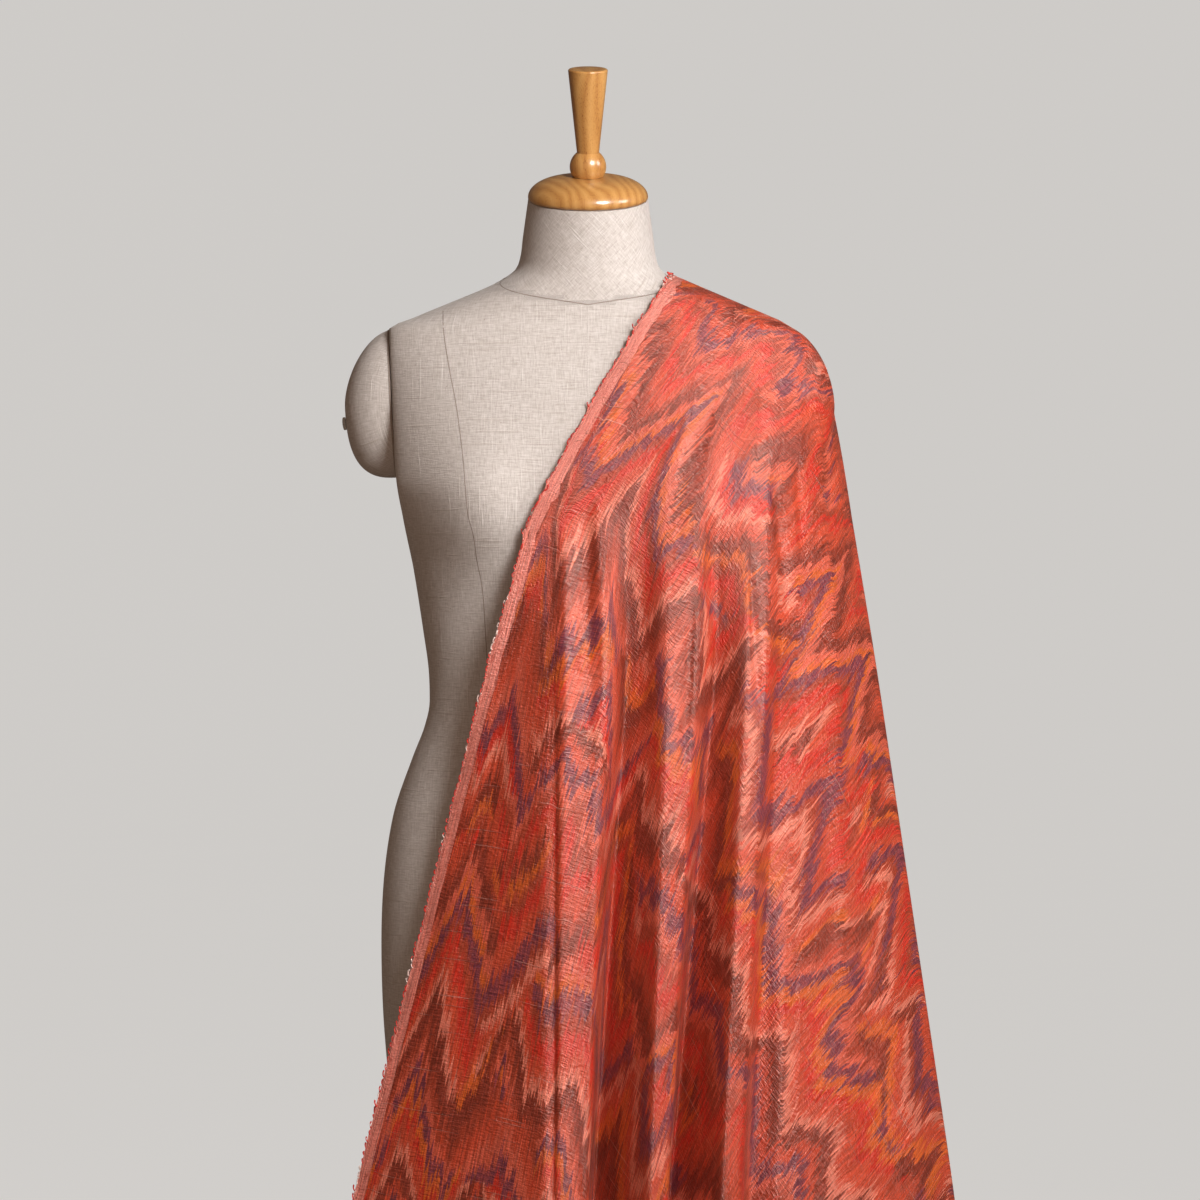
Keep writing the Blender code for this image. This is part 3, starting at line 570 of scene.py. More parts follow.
def main_silk_finish():
    """Raw silk, its warp tied and dyed in zigzag bands before weaving, and a plain coral weft."""
    f = Finish("ikat_silk")
    at = f.thread_place()
    # Threads dyed before weaving never line up quite, so each runs on a little further or less far.
    slip, bundle = f.swing(at, (480, 6), detail=2, rough=0.6), f.swing(at, (170, 4))
    loose = f.total((slip, 0.058), (bundle, 0.054))
    astray = f.total(loose, (f.swing(at, (9, 3)), 0.09))
    coral, pale, salmon = (0.51, 0.052, 0.018), (0.67, 0.180, 0.115), (0.58, 0.092, 0.048)
    orange, red, brick = (0.60, 0.100, 0.012), (0.54, 0.018, 0.006), (0.33, 0.036, 0.012)
    brown, plum = (0.178, 0.019, 0.007), (0.150, 0.026, 0.046)
    first = dyed_bands(f, f.total(zigzag_line(f, at, 0.046, (0, 0, 0), (8, 1, 0)), astray), (
        (coral, 0.022), (brick, 0.016), (brown, 0.026), (salmon, 0.020), (orange, 0.012), (plum, 0.022),
        (brick, 0.018), (red, 0.018), (coral, 0.020), (pale, 0.015), (brown, 0.028), (brick, 0.020),
        (salmon, 0.016), (plum, 0.018), (orange, 0.018), (red, 0.014), (coral, 0.024), (pale, 0.012),
        (brown, 0.022), (coral, 0.018), (plum, 0.020), (salmon, 0.014), (brick, 0.022), (red, 0.018),
    ))
    second = dyed_bands(f, f.total(zigzag_line(f, at, 0.052, (5, 3, 0), (2, 6, 0)), astray), (
        (red, 0.020), (coral, 0.024), (plum, 0.022), (brick, 0.014), (pale, 0.015), (coral, 0.022),
        (orange, 0.020), (brown, 0.032), (brick, 0.020), (coral, 0.022), (salmon, 0.024), (plum, 0.020),
        (red, 0.018), (pale, 0.016), (coral, 0.020), (brown, 0.024), (orange, 0.014), (brick, 0.020),
    ))
    patch = f.total(f.noise(at, (6, 5), detail=1, offset=(1, 9, 0)), (loose, 2.5))
    dyed = f.mix(f.calc("GREATER_THAN", patch, 0.53), first, second)
    # In some places the coral dye has bled over the others.
    bled = f.spots(
        at, (26, 11), 0.56, 0.76, 0.0, 0.30, detail=2, offset=(6, 6, 0), interpolation="SMOOTHSTEP"
    )
    dyed = f.mix(bled, dyed, coral)
    # The selvedge is plain and paler, with a broken dark line beside it: a painted shadow along the strip's
    # inner edge.
    _, _, in_from_edge, _ = f.node("Attribute", {}, attribute_name="in_from_edge")
    line = f.calc("LESS_THAN", in_from_edge, SELVEDGE_WIDTH + SELVEDGE_LINE_WIDTH)
    broken = f.spots(at, (30, 40), 0.45, 0.55, 0.0, 0.6, offset=(4, 4, 0))
    dyed = f.over(dyed, (0.16, 0.014, 0.006), line, broken)
    fleck = f.spots(at, (420, 90), 0.56, 0.66, offset=(2, 2, 0))
    strip = f.over((0.70, 0.225, 0.175), (0.42, 0.06, 0.04), fleck, 0.55)
    dyed = f.mix(f.calc("LESS_THAN", in_from_edge, SELVEDGE_WIDTH), dyed, strip)
    # The weft is one pale coral colour all over, and shows between the warp threads.
    warp, weft = f.threads(at, 640, 42)
    weft_shows = f.ranged(f.calc("SUBTRACT", weft, warp), -0.10, 0.22, 0.0, 0.44)
    base = f.mix(weft_shows, dyed, (0.60, 0.100, 0.062))
    base = f.mix(1.0, base, f.spots(at, (900, 16), 0.38, 0.62, 0.68, 1.22, detail=2), "MULTIPLY")
    slub = f.spots(at, (9, 600), 0.70, 0.75)
    base = f.over(base, (0.70, 0.30, 0.24), slub, 0.55)
    uneven = f.noise(at, (170, 400), detail=2, rough=0.6, offset=(7, 5, 0))
    height = f.total((warp, 0.40), (weft, 0.55), (uneven, 0.95), slub)
    return f.finish(
        base, f.ranged(height, 0.78, 1.12, 0.42, 0.28), Normal=f.bump(height, 1.0, 0.0016),
        Sheen_Weight=0.05, Sheen_Roughness=0.35, Sheen_Tint=(1.0, 0.70, 0.66, 1.0), IOR=1.5,
        Specular_IOR_Level=1.0, Specular_Tint=(1.0, 0.78, 0.70, 1.0),
    )


def edge_thread_finish():
    """The loops at the selvedge: most are red, and some are left white."""
    f = Finish("edge_thread")
    at = f.object_place()
    white = f.calc("GREATER_THAN", f.noise(at, (62, 62, 62), detail=1), 0.60)
    base = f.mix(white, (0.62, 0.028, 0.014), (0.76, 0.64, 0.58))
    fibre = f.noise(at, (1500, 1500, 1500))
    base = f.mix(f.ranged(fibre, 0.35, 0.65, 0.0, 0.35), base, (0.36, 0.02, 0.012))
    roughness = f.ranged(fibre, 0.3, 0.7, 0.5, 0.7)
    return f.finish(base, roughness, Normal=f.bump(fibre, 0.4, 0.0002), Sheen_Weight=0.2)


def floor_finish():
    f = Finish("floor")
    base = f.mix(f.noise(f.object_place(), (1.2, 1.2, 1.2)), (0.27, 0.266, 0.26), (0.30, 0.296, 0.29))
    return f.finish(
        base, 0.9, Specular_IOR_Level=0.1, Emission_Color=(1.0, 0.985, 0.96, 1.0), Emission_Strength=0.58,
    )


# ---- the form ----
def mound(x, z, apex, spread, rise):
    return rise * np.exp(-(((np.abs(x) - apex[0]) / spread[0]) ** 2) - ((z - apex[1]) / spread[1]) ** 2)


def torso_ring(z):
    heights, *columns = np.array(TORSO_SECTIONS, float).T
    half_width, over, front, back, squareness = (smooth_curve(heights, values, z) for values in columns)
    turn = math.pi / 2 + full_turn(FORM_SIDES)
    c, s = np.cos(turn), np.sin(turn)
    power = 2 / squareness
    x = half_width * over * np.sign(c) * np.abs(c) ** power
    softness = EDGE_SOFTNESS * min(1, max(over - 1, 0) / 0.03) + TINY
    x = np.sign(x) * (half_width - softness * np.logaddexp(0, (half_width - np.abs(x)) / softness))
    y = np.where(s < 0, front, back) * np.sign(s) * np.abs(s) ** power
    y -= np.where(s < 0, -s, 0) * mound(x, z, BUST_APEX, BUST_SPREAD, BUST_RISE)
    y += np.where(s > 0, s, 0) * mound(x, z, BLADE_APEX, BLADE_SPREAD, BLADE_RISE)
    lean = smoothstep(LEAN_FROM, LEAN_TO, z)
    return np.stack([x, y, z + lean * math.tan(NECK_TILT) * (y - NECK_TOP.y)], axis=1)


def neck_seam_height(angle_deg):
    knots = np.array(NECK_SEAM, float)
    return smooth_curve(knots[:, 0], knots[:, 1], np.abs(angle_deg))


def torso_mesh():
    heights = [row[0] for row in TORSO_SECTIONS]
    levels = [heights[0]]
    for low, high in zip(heights, heights[1:]):
        steps = max(1, math.ceil((high - low) / FORM_RING_STEP))
        levels.extend(low + (high - low) * np.arange(1, steps + 1) / steps)
    rings = [torso_ring(z) for z in levels]
    for inset in HEM_INSETS:
        shrink = (1 - inset / HEM_HALF_WIDTH, 1 - inset / HEM_HALF_DEPTH, 1)
        rings.insert(0, torso_ring(TORSO_BOTTOM_Z) * shrink)
    rings[len(HEM_INSETS)][:, 2] += HEM_RISE
    grid = np.array(rings)
    closed = np.concatenate([grid, grid[:, :1]], axis=1)
    run = run_along(closed)
    run = run - run[:, FORM_SIDES // 2][:, None]
    places = np.stack([run, np.broadcast_to(closed[:, :, 2], run.shape)], axis=2)
    angle = np.degrees(np.arctan2(closed[:, :, 0], -closed[:, :, 1]))
    on_neck = closed[:, :, 2] > neck_seam_height(angle)
    u, v = places[:, :, 0], places[:, :, 1]
    bias = np.stack([u + v, v - u], axis=2) * BIAS_SCALE
    places = np.where(on_neck[:, :, None], bias, places)
    return grid_mesh("torso_cover", grid, places, closed=True, capped=True)


def arm_cap_mesh(name):
    """A dome on the YZ plane that bulges to +X. Its fullness differs at the top, the sides and the bottom."""
    half_height = math.hypot(ARM_TOP[0] - ARM_BOTTOM[0], ARM_TOP[1] - ARM_BOTTOM[1]) / 2
    turn = full_turn(ARM_SIDES)
    up = np.sin(turn)
    ends = np.where(up > 0, ARM_FULLNESS["top"], ARM_FULLNESS["bottom"])
    fullness = ARM_FULLNESS["side"] + (ends - ARM_FULLNESS["side"]) * np.abs(up)
    rings = []
    for k in range(ARM_RINGS):
        out = math.sin(ARM_DOME_TURN * k / (ARM_RINGS - 1))
        shrink = (1 - out**fullness) ** (1 / fullness)
        y = ARM_DEPTH * shrink * np.cos(turn)
        z = half_height * shrink * up
        rings.append(np.stack([np.full(ARM_SIDES, ARM_BULGE * out), y, z], axis=1))
    grid = np.array(rings)
    from_middle = run_along(grid[::-1].transpose(1, 0, 2)).T[::-1]
    places = from_middle[:, :, None] * np.stack([np.cos(turn), np.sin(turn)], axis=1)[None]
    places = np.concatenate([places, places[:, :1]], axis=1)
    return grid_mesh(name, grid, places, closed=True, capped=True)


def neck_cap_profile():
    rim = CAP_RIM
    flat_top = BEAD_RADIUS + CAP_INSET
    dome = [
        (flat_top + (CAP_RADIUS - flat_top) * math.cos(a), rim + (CAP_HEIGHT - rim) * math.sin(a))
        for a in np.radians(np.linspace(0, 90, 28))
    ]
    edge = arc((CAP_RADIUS - rim, rim), rim, -70, -8, 8)
    return [(0, 0), (CAP_RADIUS - rim - CAP_INSET, 0)] + edge + dome + [(0, CAP_HEIGHT)]


def finial_profile():
    centre = BEAD_HEIGHT - math.sqrt(BEAD_RADIUS**2 - HANDLE_FOOT_RADIUS**2)
    foot = -math.degrees(math.asin(centre / BEAD_RADIUS))
    top = math.degrees(math.acos(HANDLE_FOOT_RADIUS / BEAD_RADIUS))
    bead = arc((0, centre), BEAD_RADIUS, foot, top, 28)
    edge, tall = HANDLE_EDGE, BEAD_HEIGHT + HANDLE_LENGTH
    handle = arc((HANDLE_TOP_RADIUS - edge, tall - edge), edge, 0, 90, 6)
    return [(0, 0)] + bead + handle + [(0, tall)]


def base_profile():
    round_edge = BASE_THICKNESS / 2
    rim = arc((BASE_RADIUS - round_edge, round_edge), round_edge, -90, 90, 20)
    cove = BASE_HEIGHT - BASE_THICKNESS
    boss = [
        (BASE_BOSS_RADIUS + cove - cove * math.sin(a), BASE_HEIGHT - cove * math.cos(a))
        for a in np.radians(np.linspace(0, 84, 16))
    ]
    lip = [(BASE_BOSS_RADIUS, BASE_HEIGHT - BASE_LIP), (BASE_BOSS_RADIUS - BASE_LIP, BASE_HEIGHT)]
    return [(0, 0)] + rim + boss + lip + [(0, BASE_HEIGHT)]


def add_seams(tree, linen, seam_painted_shade_linen):
    def add_seam(name, finish, rays):
        """A seam where the rays (start, direction) meet the form."""
        hits = [tree.ray_cast(start, direction)[:2] for start, direction in rays]
        places, normals = zip(*(hit for hit in hits if hit[0] is not None))
        welt = welt_mesh(name, places, normals, SEAM_HALF_WIDTH, SEAM_RISE)
        add_piece(name, welt, finish)

    def rays_from(side, xs, zs):
        return [(Vector((x, side, z)), Vector((0, -side, 0))) for x, z in zip(xs, zs)]

    heights = np.linspace(PRINCESS_SEAM[0][1], SEAM_FOOT_Z, SEAM_STEPS)
    knots = np.array(PRINCESS_SEAM)[::-1]
    outward = smooth_curve(knots[:, 1], knots[:, 0], heights)
    for end, side in (("front", -1), ("back", 1)):
        for hand, lean in (("right", -1), ("left", 1)):
            add_seam(f"princess_seam_{end}_{hand}", seam_painted_shade_linen, rays_from(side, lean * outward, heights))
    for end, side, top in (("front", -1, CENTRE_SEAM_FRONT_Z), ("back", 1, CENTRE_SEAM_BACK_Z)):
        heights = np.linspace(top, SEAM_FOOT_Z, SEAM_STEPS)
        add_seam(f"centre_seam_{end}", linen, rays_from(side, np.zeros(SEAM_STEPS), heights))
    rays, angles = [], np.linspace(-180, 180, NECK_SEAM_STEPS)
    for angle, z in zip(angles, neck_seam_height(angles)):
        a = math.radians(angle)
        outward = Vector((math.sin(a), -math.cos(a), 0))
        rays.append((outward * 0.5 + Vector((0, 0, z)), -outward))
    add_seam("neck_seam", seam_painted_shade_linen, rays)


def edging_mesh(name, cap):
    """A narrow edging cord around the rim of an arm cap, where it meets the arm plate; its darkness is painted
    shade of the gap there.
    """
    rim = np.array([cap.vertices[k].co for k in range(ARM_SIDES)])
    outward = unit(rim - rim.mean(axis=0))
    closed = list(range(ARM_SIDES)) + [0]
    return welt_mesh(name, rim[closed], outward[closed], EDGING_HALF_WIDTH, EDGING_RISE)


def stud_mesh(cap):
    """The stud, seated on an arm cap."""
    rounding = [
        (STUD_RADIUS * math.cos(a), STUD_THICKNESS * (STUD_STRAIGHT + (1 - STUD_STRAIGHT) * math.sin(a)))
        for a in np.radians(np.linspace(8, 84, 8))
    ]
    profile = [(0, 0), (STUD_RADIUS, 0), (STUD_RADIUS, STUD_THICKNESS * STUD_STRAIGHT)]
    stud = turned_mesh("stud", profile + rounding + [(0, STUD_THICKNESS)])
    seat, outward, _, _ = tree_of(cap).ray_cast(Vector((-1, ARM_CENTRE_Y, STUD_Z)), Vector((1, 0, 0)))
    face = outward.to_track_quat("Z", "Y").to_matrix().to_4x4()
    stud.transform(Matrix.Translation(seat + outward * GAP) @ face)
    return stud


def make_form(linen, seam_painted_shade_linen, wood, metal):
    body = torso_mesh()
    body_tree = tree_of(body)
    add_piece("torso_cover", body, linen, ["torso"])
    lean = math.atan2(ARM_TOP[0] - ARM_BOTTOM[0], ARM_TOP[1] - ARM_BOTTOM[1])
    middle_x = (ARM_TOP[0] + ARM_BOTTOM[0]) / 2 + GAP
    middle_z = (ARM_TOP[1] + ARM_BOTTOM[1]) / 2
    caps = {}
    for name, side in (("arm_cap_left", 1), ("arm_cap_right", -1)):
        mesh = arm_cap_mesh(name + "_cover")
        turn = Euler((0, lean, 0 if side > 0 else math.pi)).to_matrix().to_4x4()
        mesh.transform(Matrix.Translation((side * middle_x, ARM_CENTRE_Y, middle_z)) @ turn)
        caps[name] = mesh
        add_piece(name + "_cover", mesh, linen, [name])
        edging = edging_mesh(name + "_edging", mesh)
        edging.transform(Matrix.Translation((side * EDGING_HALF_WIDTH, 0, 0)))
        # The edging takes the darkened seam linen: painted shade of the gap between cap and plate.
        add_piece(name + "_edging", edging, seam_painted_shade_linen)
    add_piece("stud", stud_mesh(caps["arm_cap_right"]), metal, ["arm_stud"])
    add_seams(body_tree, linen, seam_painted_shade_linen)

    neck = Matrix.Translation(NECK_TOP) @ Matrix.Rotation(NECK_TILT, 4, "X")
    length, edge = TORSO_BOTTOM_Z - BASE_HEIGHT - 2 * GAP, POLE_EDGE
    pole = arc((POLE_RADIUS - edge, edge), edge, -90, 0, 4)
    pole += arc((POLE_RADIUS - edge, length - edge), edge, 0, 90, 4)
    for name, node, profile, stands_on, height in (
        ("wooden_cap", "neck_cap", neck_cap_profile(), neck, GAP),
        ("turned_finial", "finial", finial_profile(), neck, CAP_HEIGHT + 2 * GAP),
        ("stand_pole", "pole", [(0, 0)] + pole + [(0, length)], Matrix(), BASE_HEIGHT + GAP),
        ("stand_base", "base", base_profile(), Matrix(), 0),
    ):
        mesh = turned_mesh(name, profile)
        mesh.transform(stands_on @ Matrix.Translation((0, 0, height)))
        add_piece(name, mesh, wood, [node])
    return body, caps["arm_cap_left"], body_tree


# ---- the cloth ----
def hull_of(meshes):
    """The taut outer shape of the shoulders and trunk, over which cloth spans every hollow."""
    shape = bmesh.new()
    for mesh in meshes:
        for vertex in mesh.vertices:
            if vertex.co.z < NECK_LIMIT_Z:
                shape.verts.new(vertex.co)
    bmesh.ops.convex_hull(shape, input=shape.verts)
    bmesh.ops.recalc_face_normals(shape, faces=shape.faces)
    tree = BVHTree.FromBMesh(shape)
    shape.free()
    return tree


def clear_of(trees, points, clearance):
    """The points, each moved straight out of a surface it is inside of or nearer to than the clearance."""
    moved = []
    for point in points:
        point = Vector(point)
        for tree in trees:
            place, normal, _, distance = tree.find_nearest(point, SURFACE_REACH)
            if place is None:
                continue
            inside = (point - place).dot(normal) < 0
            if inside or distance < clearance:
                point = place + (normal if inside else (point - place).normalized()) * clearance
        moved.append(point)
    return np.array(moved)


def before_hull(tree, path, side, clearance):
    """The path pushed to the front (side -1) or the back (side 1), wherever it would run inside the hull."""
    pushed = []
    for point in path:
        hit, normal, _, _ = tree.ray_cast(Vector((point[0], side, point[2])), Vector((0, -side, 0)))
        y = point[1]
        if hit is not None and side * (hit.y - y) > 0:
            y = hit.y
        pushed.append((point[0], y, point[2]))
    return clear_of([tree], pushed, clearance)


def line_values(name):
    return np.concatenate([column(FRONT_LINES, FRONT_COLUMNS, name), column(BACK_LINES, BACK_COLUMNS, name)])


def fold_knots():
    """Where each fold line stands along the cloth, as a length measured in the low section."""
    x, forward = line_values("low_x"), line_values("low_forward")
    return np.concatenate([[0], np.cumsum(np.hypot(np.diff(x), np.diff(forward)))])


def column_places():
    knots = fold_knots()
    places = []
    for k, steps in enumerate(line_values("steps").astype(int)[:-1] * COLUMNS_PER_STEP):
        t = np.arange(steps) / steps
        t = t - COLUMN_CROWDING * np.sin(math.tau * t)
        places.append(knots[k] + (knots[k + 1] - knots[k]) * t)
    return np.concatenate(places + [knots[-1:]])


def along_folds(name, at):
    """One column of the fold lines at any place along the cloth, with each fold line rounded."""
    knots, values = fold_knots(), line_values(name)
    spread = np.linspace(-1, 1, FOLD_SAMPLES)
    weights = 1 - np.abs(spread) * FOLD_FADE
    room = np.minimum(at - knots[0], knots[-1] - at)[:, None]
    reach = np.minimum(FOLD_SOFTNESS, room) * spread[None, :]
    return (np.interp(at[:, None] + reach, knots, values) * weights).sum(1) / weights.sum()


def hang(places, z):
    """Plan position (x, forward) of each cloth column at height z, on straight lines eased at the waist."""
    spread = np.linspace(-1, 1, LEVEL_SAMPLES)
    found = np.zeros((len(places["yoke"]), 2))
    for share in spread:
        level = z + share * LEVEL_SOFTNESS
        if level > WAIST_Z:
            upper = (YOKE_Z - level) / (YOKE_Z - WAIST_Z)
            found += places["yoke"] + upper * (places["waist"] - places["yoke"])
        else:
            lower = (WAIST_Z - level) / (WAIST_Z - LOW_Z)
            lower = min(lower, 1) + LOW_FLARE * max(lower - 1, 0)
            found += places["waist"] + lower * (places["low"] - places["waist"])
    return found / len(spread)


def ridge_shares(at):
    half = len(at) // 2
    knots = fold_knots()[: len(FRONT_LINES) + 1]
    starts = np.append(column(FRONT_LINES, FRONT_COLUMNS, "ridge"), 1.0)
    front = smooth_curve(knots, starts, at[: half + 1])
    return np.concatenate([front, front[:-1][::-1]])


def ridge_points(share):
    shares, xs, zs = np.array(RIDGE, float).T
    x, z = smooth_curve(shares, xs, share), smooth_curve(shares, zs, share)
    return np.stack([x, np.zeros(len(share)), z], axis=1)


def level_points(plan, z):
    return np.stack([plan[:, 0], -plan[:, 1], np.full(len(plan), z)], axis=1)


def column_paths(hull, at):
    """For each column a fine path from the shoulder ridge down to the floor's height, clear of the hull."""
    places = {
        level: np.stack([along_folds(level + "_x", at), along_folds(level + "_forward", at)], axis=1)
        for level in ("chest", "yoke", "waist", "low")
    }
    start = clear_of([hull], ridge_points(ridge_shares(at)), CLOTH_SEAT)
    fall = [level_points(hang(places, z), z) for z in np.linspace(YOKE_Z, 0.0, FALL_STEPS)]
    chest = level_points(places["chest"], CHEST_Z)
    shoulder = []
    for t in np.linspace(0, 1, SHOULDER_STEPS)[:-1] ** SHOULDER_CROWDING:
        shoulder.append((1 - t) ** 2 * start + 2 * t * (1 - t) * chest + t * t * fall[0])
    made = []
    for path in np.concatenate([shoulder, fall]).transpose(1, 0, 2):
        side = -1 if path[len(shoulder)][1] < 0 else 1
        made.append(np.concatenate([path[:1], before_hull(hull, path[1:], side, CLOTH_CLEARANCE)]))
    return np.array(made)


def flat_directions(at):
    """For each column: its start along the shoulder in the flat cloth, its direction there and its length."""
    knots = fold_knots()
    arm_side = knots[[row[0] for row in FRONT_LINES].index("arm side")]
    turn = np.interp(at, [0, arm_side, knots[-1]], [0, ARM_SIDE_TURN, math.pi])
    shares = np.linspace(0, 1, RIDGE_STEPS)
    start = np.interp(ridge_shares(at), shares, run_along(ridge_points(shares)))
    to_end = CLOTH_LENGTH / 2 / np.maximum(np.abs(np.cos(turn)), TINY)
    to_side = (CLOTH_WIDTH - start) / np.maximum(np.sin(turn), TINY)
    return start, turn, np.minimum(to_end, to_side)


def evened(values, reach):
    """Each row of the values averaged with the rows beside it, with fewer of them near the first and last."""
    count = len(values)
    sums = np.concatenate([np.zeros((1,) + values.shape[1:]), np.cumsum(values, axis=0)])
    near = np.minimum(reach, np.minimum(np.arange(count), count - 1 - np.arange(count)))
    low, high = np.arange(count) - near, np.arange(count) + near + 1
    return (sums[high] - sums[low]) / (high - low)[:, None]


def eased(grid, times):
    """The grid with its small corners smoothed. Its edges are kept, and the cut end is smoothed too."""
    for _ in range(times):
        inner = (grid[:-2, 1:-1] + grid[2:, 1:-1] + grid[1:-1, :-2] + grid[1:-1, 2:]) / 4
        grid = grid.copy()
        grid[1:-1, 1:-1] = (grid[1:-1, 1:-1] + inner) / 2
        grid[1:-1, -1] = (2 * grid[1:-1, -1] + grid[:-2, -1] + grid[2:, -1]) / 4
    return grid


def grid_normals(grid):
    down, across = np.gradient(grid, axis=1), np.gradient(grid, axis=0)
    normals = np.cross(down, across)
    return normals / np.maximum(np.linalg.norm(normals, axis=2), 1e-9)[:, :, None]


def creased(grid, half):
    """The grid with its small creases raised or sunk along its normals."""
    normals = grid_normals(grid)
    x, z = grid[:, :, 0], grid[:, :, 2]
    lift = np.zeros(x.shape)
    for side, x_top, z_top, x_low, z_low, half_width, rise in CREASES:
        down = (z_top - z) / (z_top - z_low)
        off = x - (x_top + (x_low - x_top) * down)
        ends = np.clip(4 * down * (1 - down), 0, 1) ** CREASE_END_EASE
        crease = rise * ends * np.exp(-((off / half_width) ** 2))
        crease[slice(half, None) if side < 0 else slice(0, half)] = 0
        lift += crease
    outward = np.where(np.arange(len(grid)) < half, -1, 1)[:, None] * np.sign(normals[:, :, 1] + 1e-9)
    return grid + (lift * outward)[:, :, None] * normals


def waved(grid, far):
    """The grid with its two hanging selvedges a little uneven, as cloth is where it isn't hemmed."""
    wave = sum(size * np.sin(far * math.tau / length + phase) for size, length, phase in EDGE_WAVES)
    gaps = [np.linalg.norm(grid - edge, axis=2) for edge in (grid[0], grid[-1])]
    fade = np.max([np.exp(-((gap / EDGE_WAVE_REACH) ** 2)) for gap in gaps], axis=0)
    return grid + (EDGE_WAVE * wave * fade)[:, :, None] * grid_normals(grid)


def cloth_shape(hull, bodies):
    """Points (columns, rows, 3) of the cloth and their thread places in the flat cloth (columns, rows, 2)."""
    at = column_places()
    start, turn, length = flat_directions(at)
    shares = np.linspace(0, 1, CLOTH_ROWS + 1) ** ROW_CROWDING
    paths = column_paths(hull, at)
    runs = evened(run_along(paths), RUN_SPREAD)
    drop = length + END_SLANT * (1 - smoothstep(0, END_SLANT_WIDTH, at))
    grid = []
    for path, run, long in zip(paths, runs, drop):
        grid.append(np.stack([np.interp(shares * long, run, path[:, k]) for k in range(3)], axis=1))
    half = len(at) // 2
    far = shares[None] * length[:, None]
    grid = waved(creased(eased(np.array(grid), EASE_ROUNDS), half), far)
    seat = clear_of([hull] + bodies, grid[:, 0], CLOTH_SEAT)
    rest = clear_of([hull] + bodies, grid[:, 1:].reshape(-1, 3), CLOTH_CLEARANCE)
    grid = np.concatenate([seat[:, None], rest.reshape(len(at), -1, 3)], axis=1)
    grid[half + 1 :, 0] = grid[:half, 0][::-1]
    places = np.stack([start[:, None] + far * np.sin(turn)[:, None], far * np.cos(turn)[:, None]], axis=2)
    return grid, places


def in_from_edge(grid, places):
    """How far in each point lies from a selvedge: as hung at the two hanging edges, as cut at the third."""
    found = CLOTH_WIDTH - places[:, :, 0]
    shares = np.linspace(0, 1, EDGE_FINENESS, endpoint=False)[:, None]
    last = len(grid) - 1
    for edge_at, near in ((0, range(EDGE_COLUMNS)), (last, range(last + 1 - EDGE_COLUMNS, last + 1))):
        edge = grid[edge_at]
        fine = np.concatenate([a + (b - a) * shares for a, b in zip(edge, edge[1:])])
        tree = KDTree(len(fine))
        for k, point in enumerate(fine):
            tree.insert(point, k)
        tree.balance()
        for beside in near:
            for k in range(grid.shape[1]):
                found[beside, k] = min(found[beside, k], tree.find(grid[beside, k])[2])
    return found


def make_cloth(hull, bodies, silk):
    grid, places = cloth_shape(hull, bodies)
    mesh = grid_mesh("ikat_silk", grid, places)
    layer = mesh.attributes.new("in_from_edge", "FLOAT", "POINT")
    layer.data.foreach_set("value", in_from_edge(grid, places).astype(np.float32).ravel())
    outward_mesh(shape_of(mesh), mesh, POINT_WELD)
    # The front, from the waist down, has to face forward.
    front = [p for p in mesh.polygons if p.center.y < -0.1 and p.center.z < 1.2]
    if sum(p.normal.y * p.area for p in front) > 0:
        mesh.flip_normals()
    return add_piece("ikat_silk", mesh, silk, ["ikat_cloth"], sharp_deg=180), grid


def loop_tree():
    """Loops of thread along an edge, one after the other, each a little different."""
    tree = bpy.data.node_groups.new("edge_loops", "GeometryNodeTree")
    for name, kind in (
        ("Edge", "Geometry"), ("Spacing", "Float"), ("Loop Radius", "Float"), ("Thread Radius", "Float"),
        ("Seed", "Int"), ("Finish", "Material"),
    ):
        tree.interface.new_socket(name, in_out="INPUT", socket_type="NodeSocket" + kind)
    tree.interface.new_socket("Loops", in_out="OUTPUT", socket_type="NodeSocketGeometry")
    given = tree.nodes.new("NodeGroupInput").outputs

    def node(kind, values, **settings):
        return add_node(tree, kind, values, **settings)[0]

    def vector_along(name):
        return node("GeometryNodeInputNamedAttribute", {"Name": name}, data_type="FLOAT_VECTOR")

    def random_vector(low, high, step):
        limits = {"Min": low, "Max": high, "Seed": node("ShaderNodeMath", {0: given["Seed"], 1: step})}
        return node("FunctionNodeRandomValue", limits, data_type="FLOAT_VECTOR")

    line = node("GeometryNodeMeshToCurve", {0: given["Edge"]})
    line = node("GeometryNodeResampleCurve", {"Curve": line, "Length": given["Spacing"]}, mode="LENGTH")
    astray = random_vector((-LOOP_STRAY,) * 3, (LOOP_STRAY,) * 3, 1)
    points = node("GeometryNodeSetPosition", {"Geometry": line, "Offset": astray})
    arch = node("GeometryNodeCurveArc", {
        "Resolution": 7, "Start Angle": LOOP_START, "Sweep Angle": LOOP_SWEEP, "Radius": given["Loop Radius"],
    })
    thread = node("GeometryNodeCurvePrimitiveCircle", {"Resolution": 5, "Radius": given["Thread Radius"]})
    loop = node("GeometryNodeCurveToMesh", {"Curve": arch, "Profile Curve": thread, "Fill Caps": True})
    turn = node(
        "FunctionNodeAxesToRotation",
        {"Primary Axis": vector_along("outward"), "Secondary Axis": vector_along("upright")},
        primary_axis="X", secondary_axis="Z",
    )
    tilt = random_vector(tuple(-most for most in LOOP_TILT), LOOP_TILT, 2)
    turn = node("FunctionNodeRotateRotation", {"Rotation": turn, "Rotate By": tilt}, rotation_space="LOCAL")
    size = random_vector(*LOOP_SCALES, 3)
    loops = node("GeometryNodeInstanceOnPoints", {
        "Points": points, "Instance": loop, "Rotation": turn, "Scale": size,
    })
    loops = node("GeometryNodeRealizeInstances", {0: loops})
    loops = node("GeometryNodeSetMaterial", {"Geometry": loops, "Material": given["Finish"]})
    tree.links.new(loops, tree.nodes.new("NodeGroupOutput").inputs[0])
    return tree


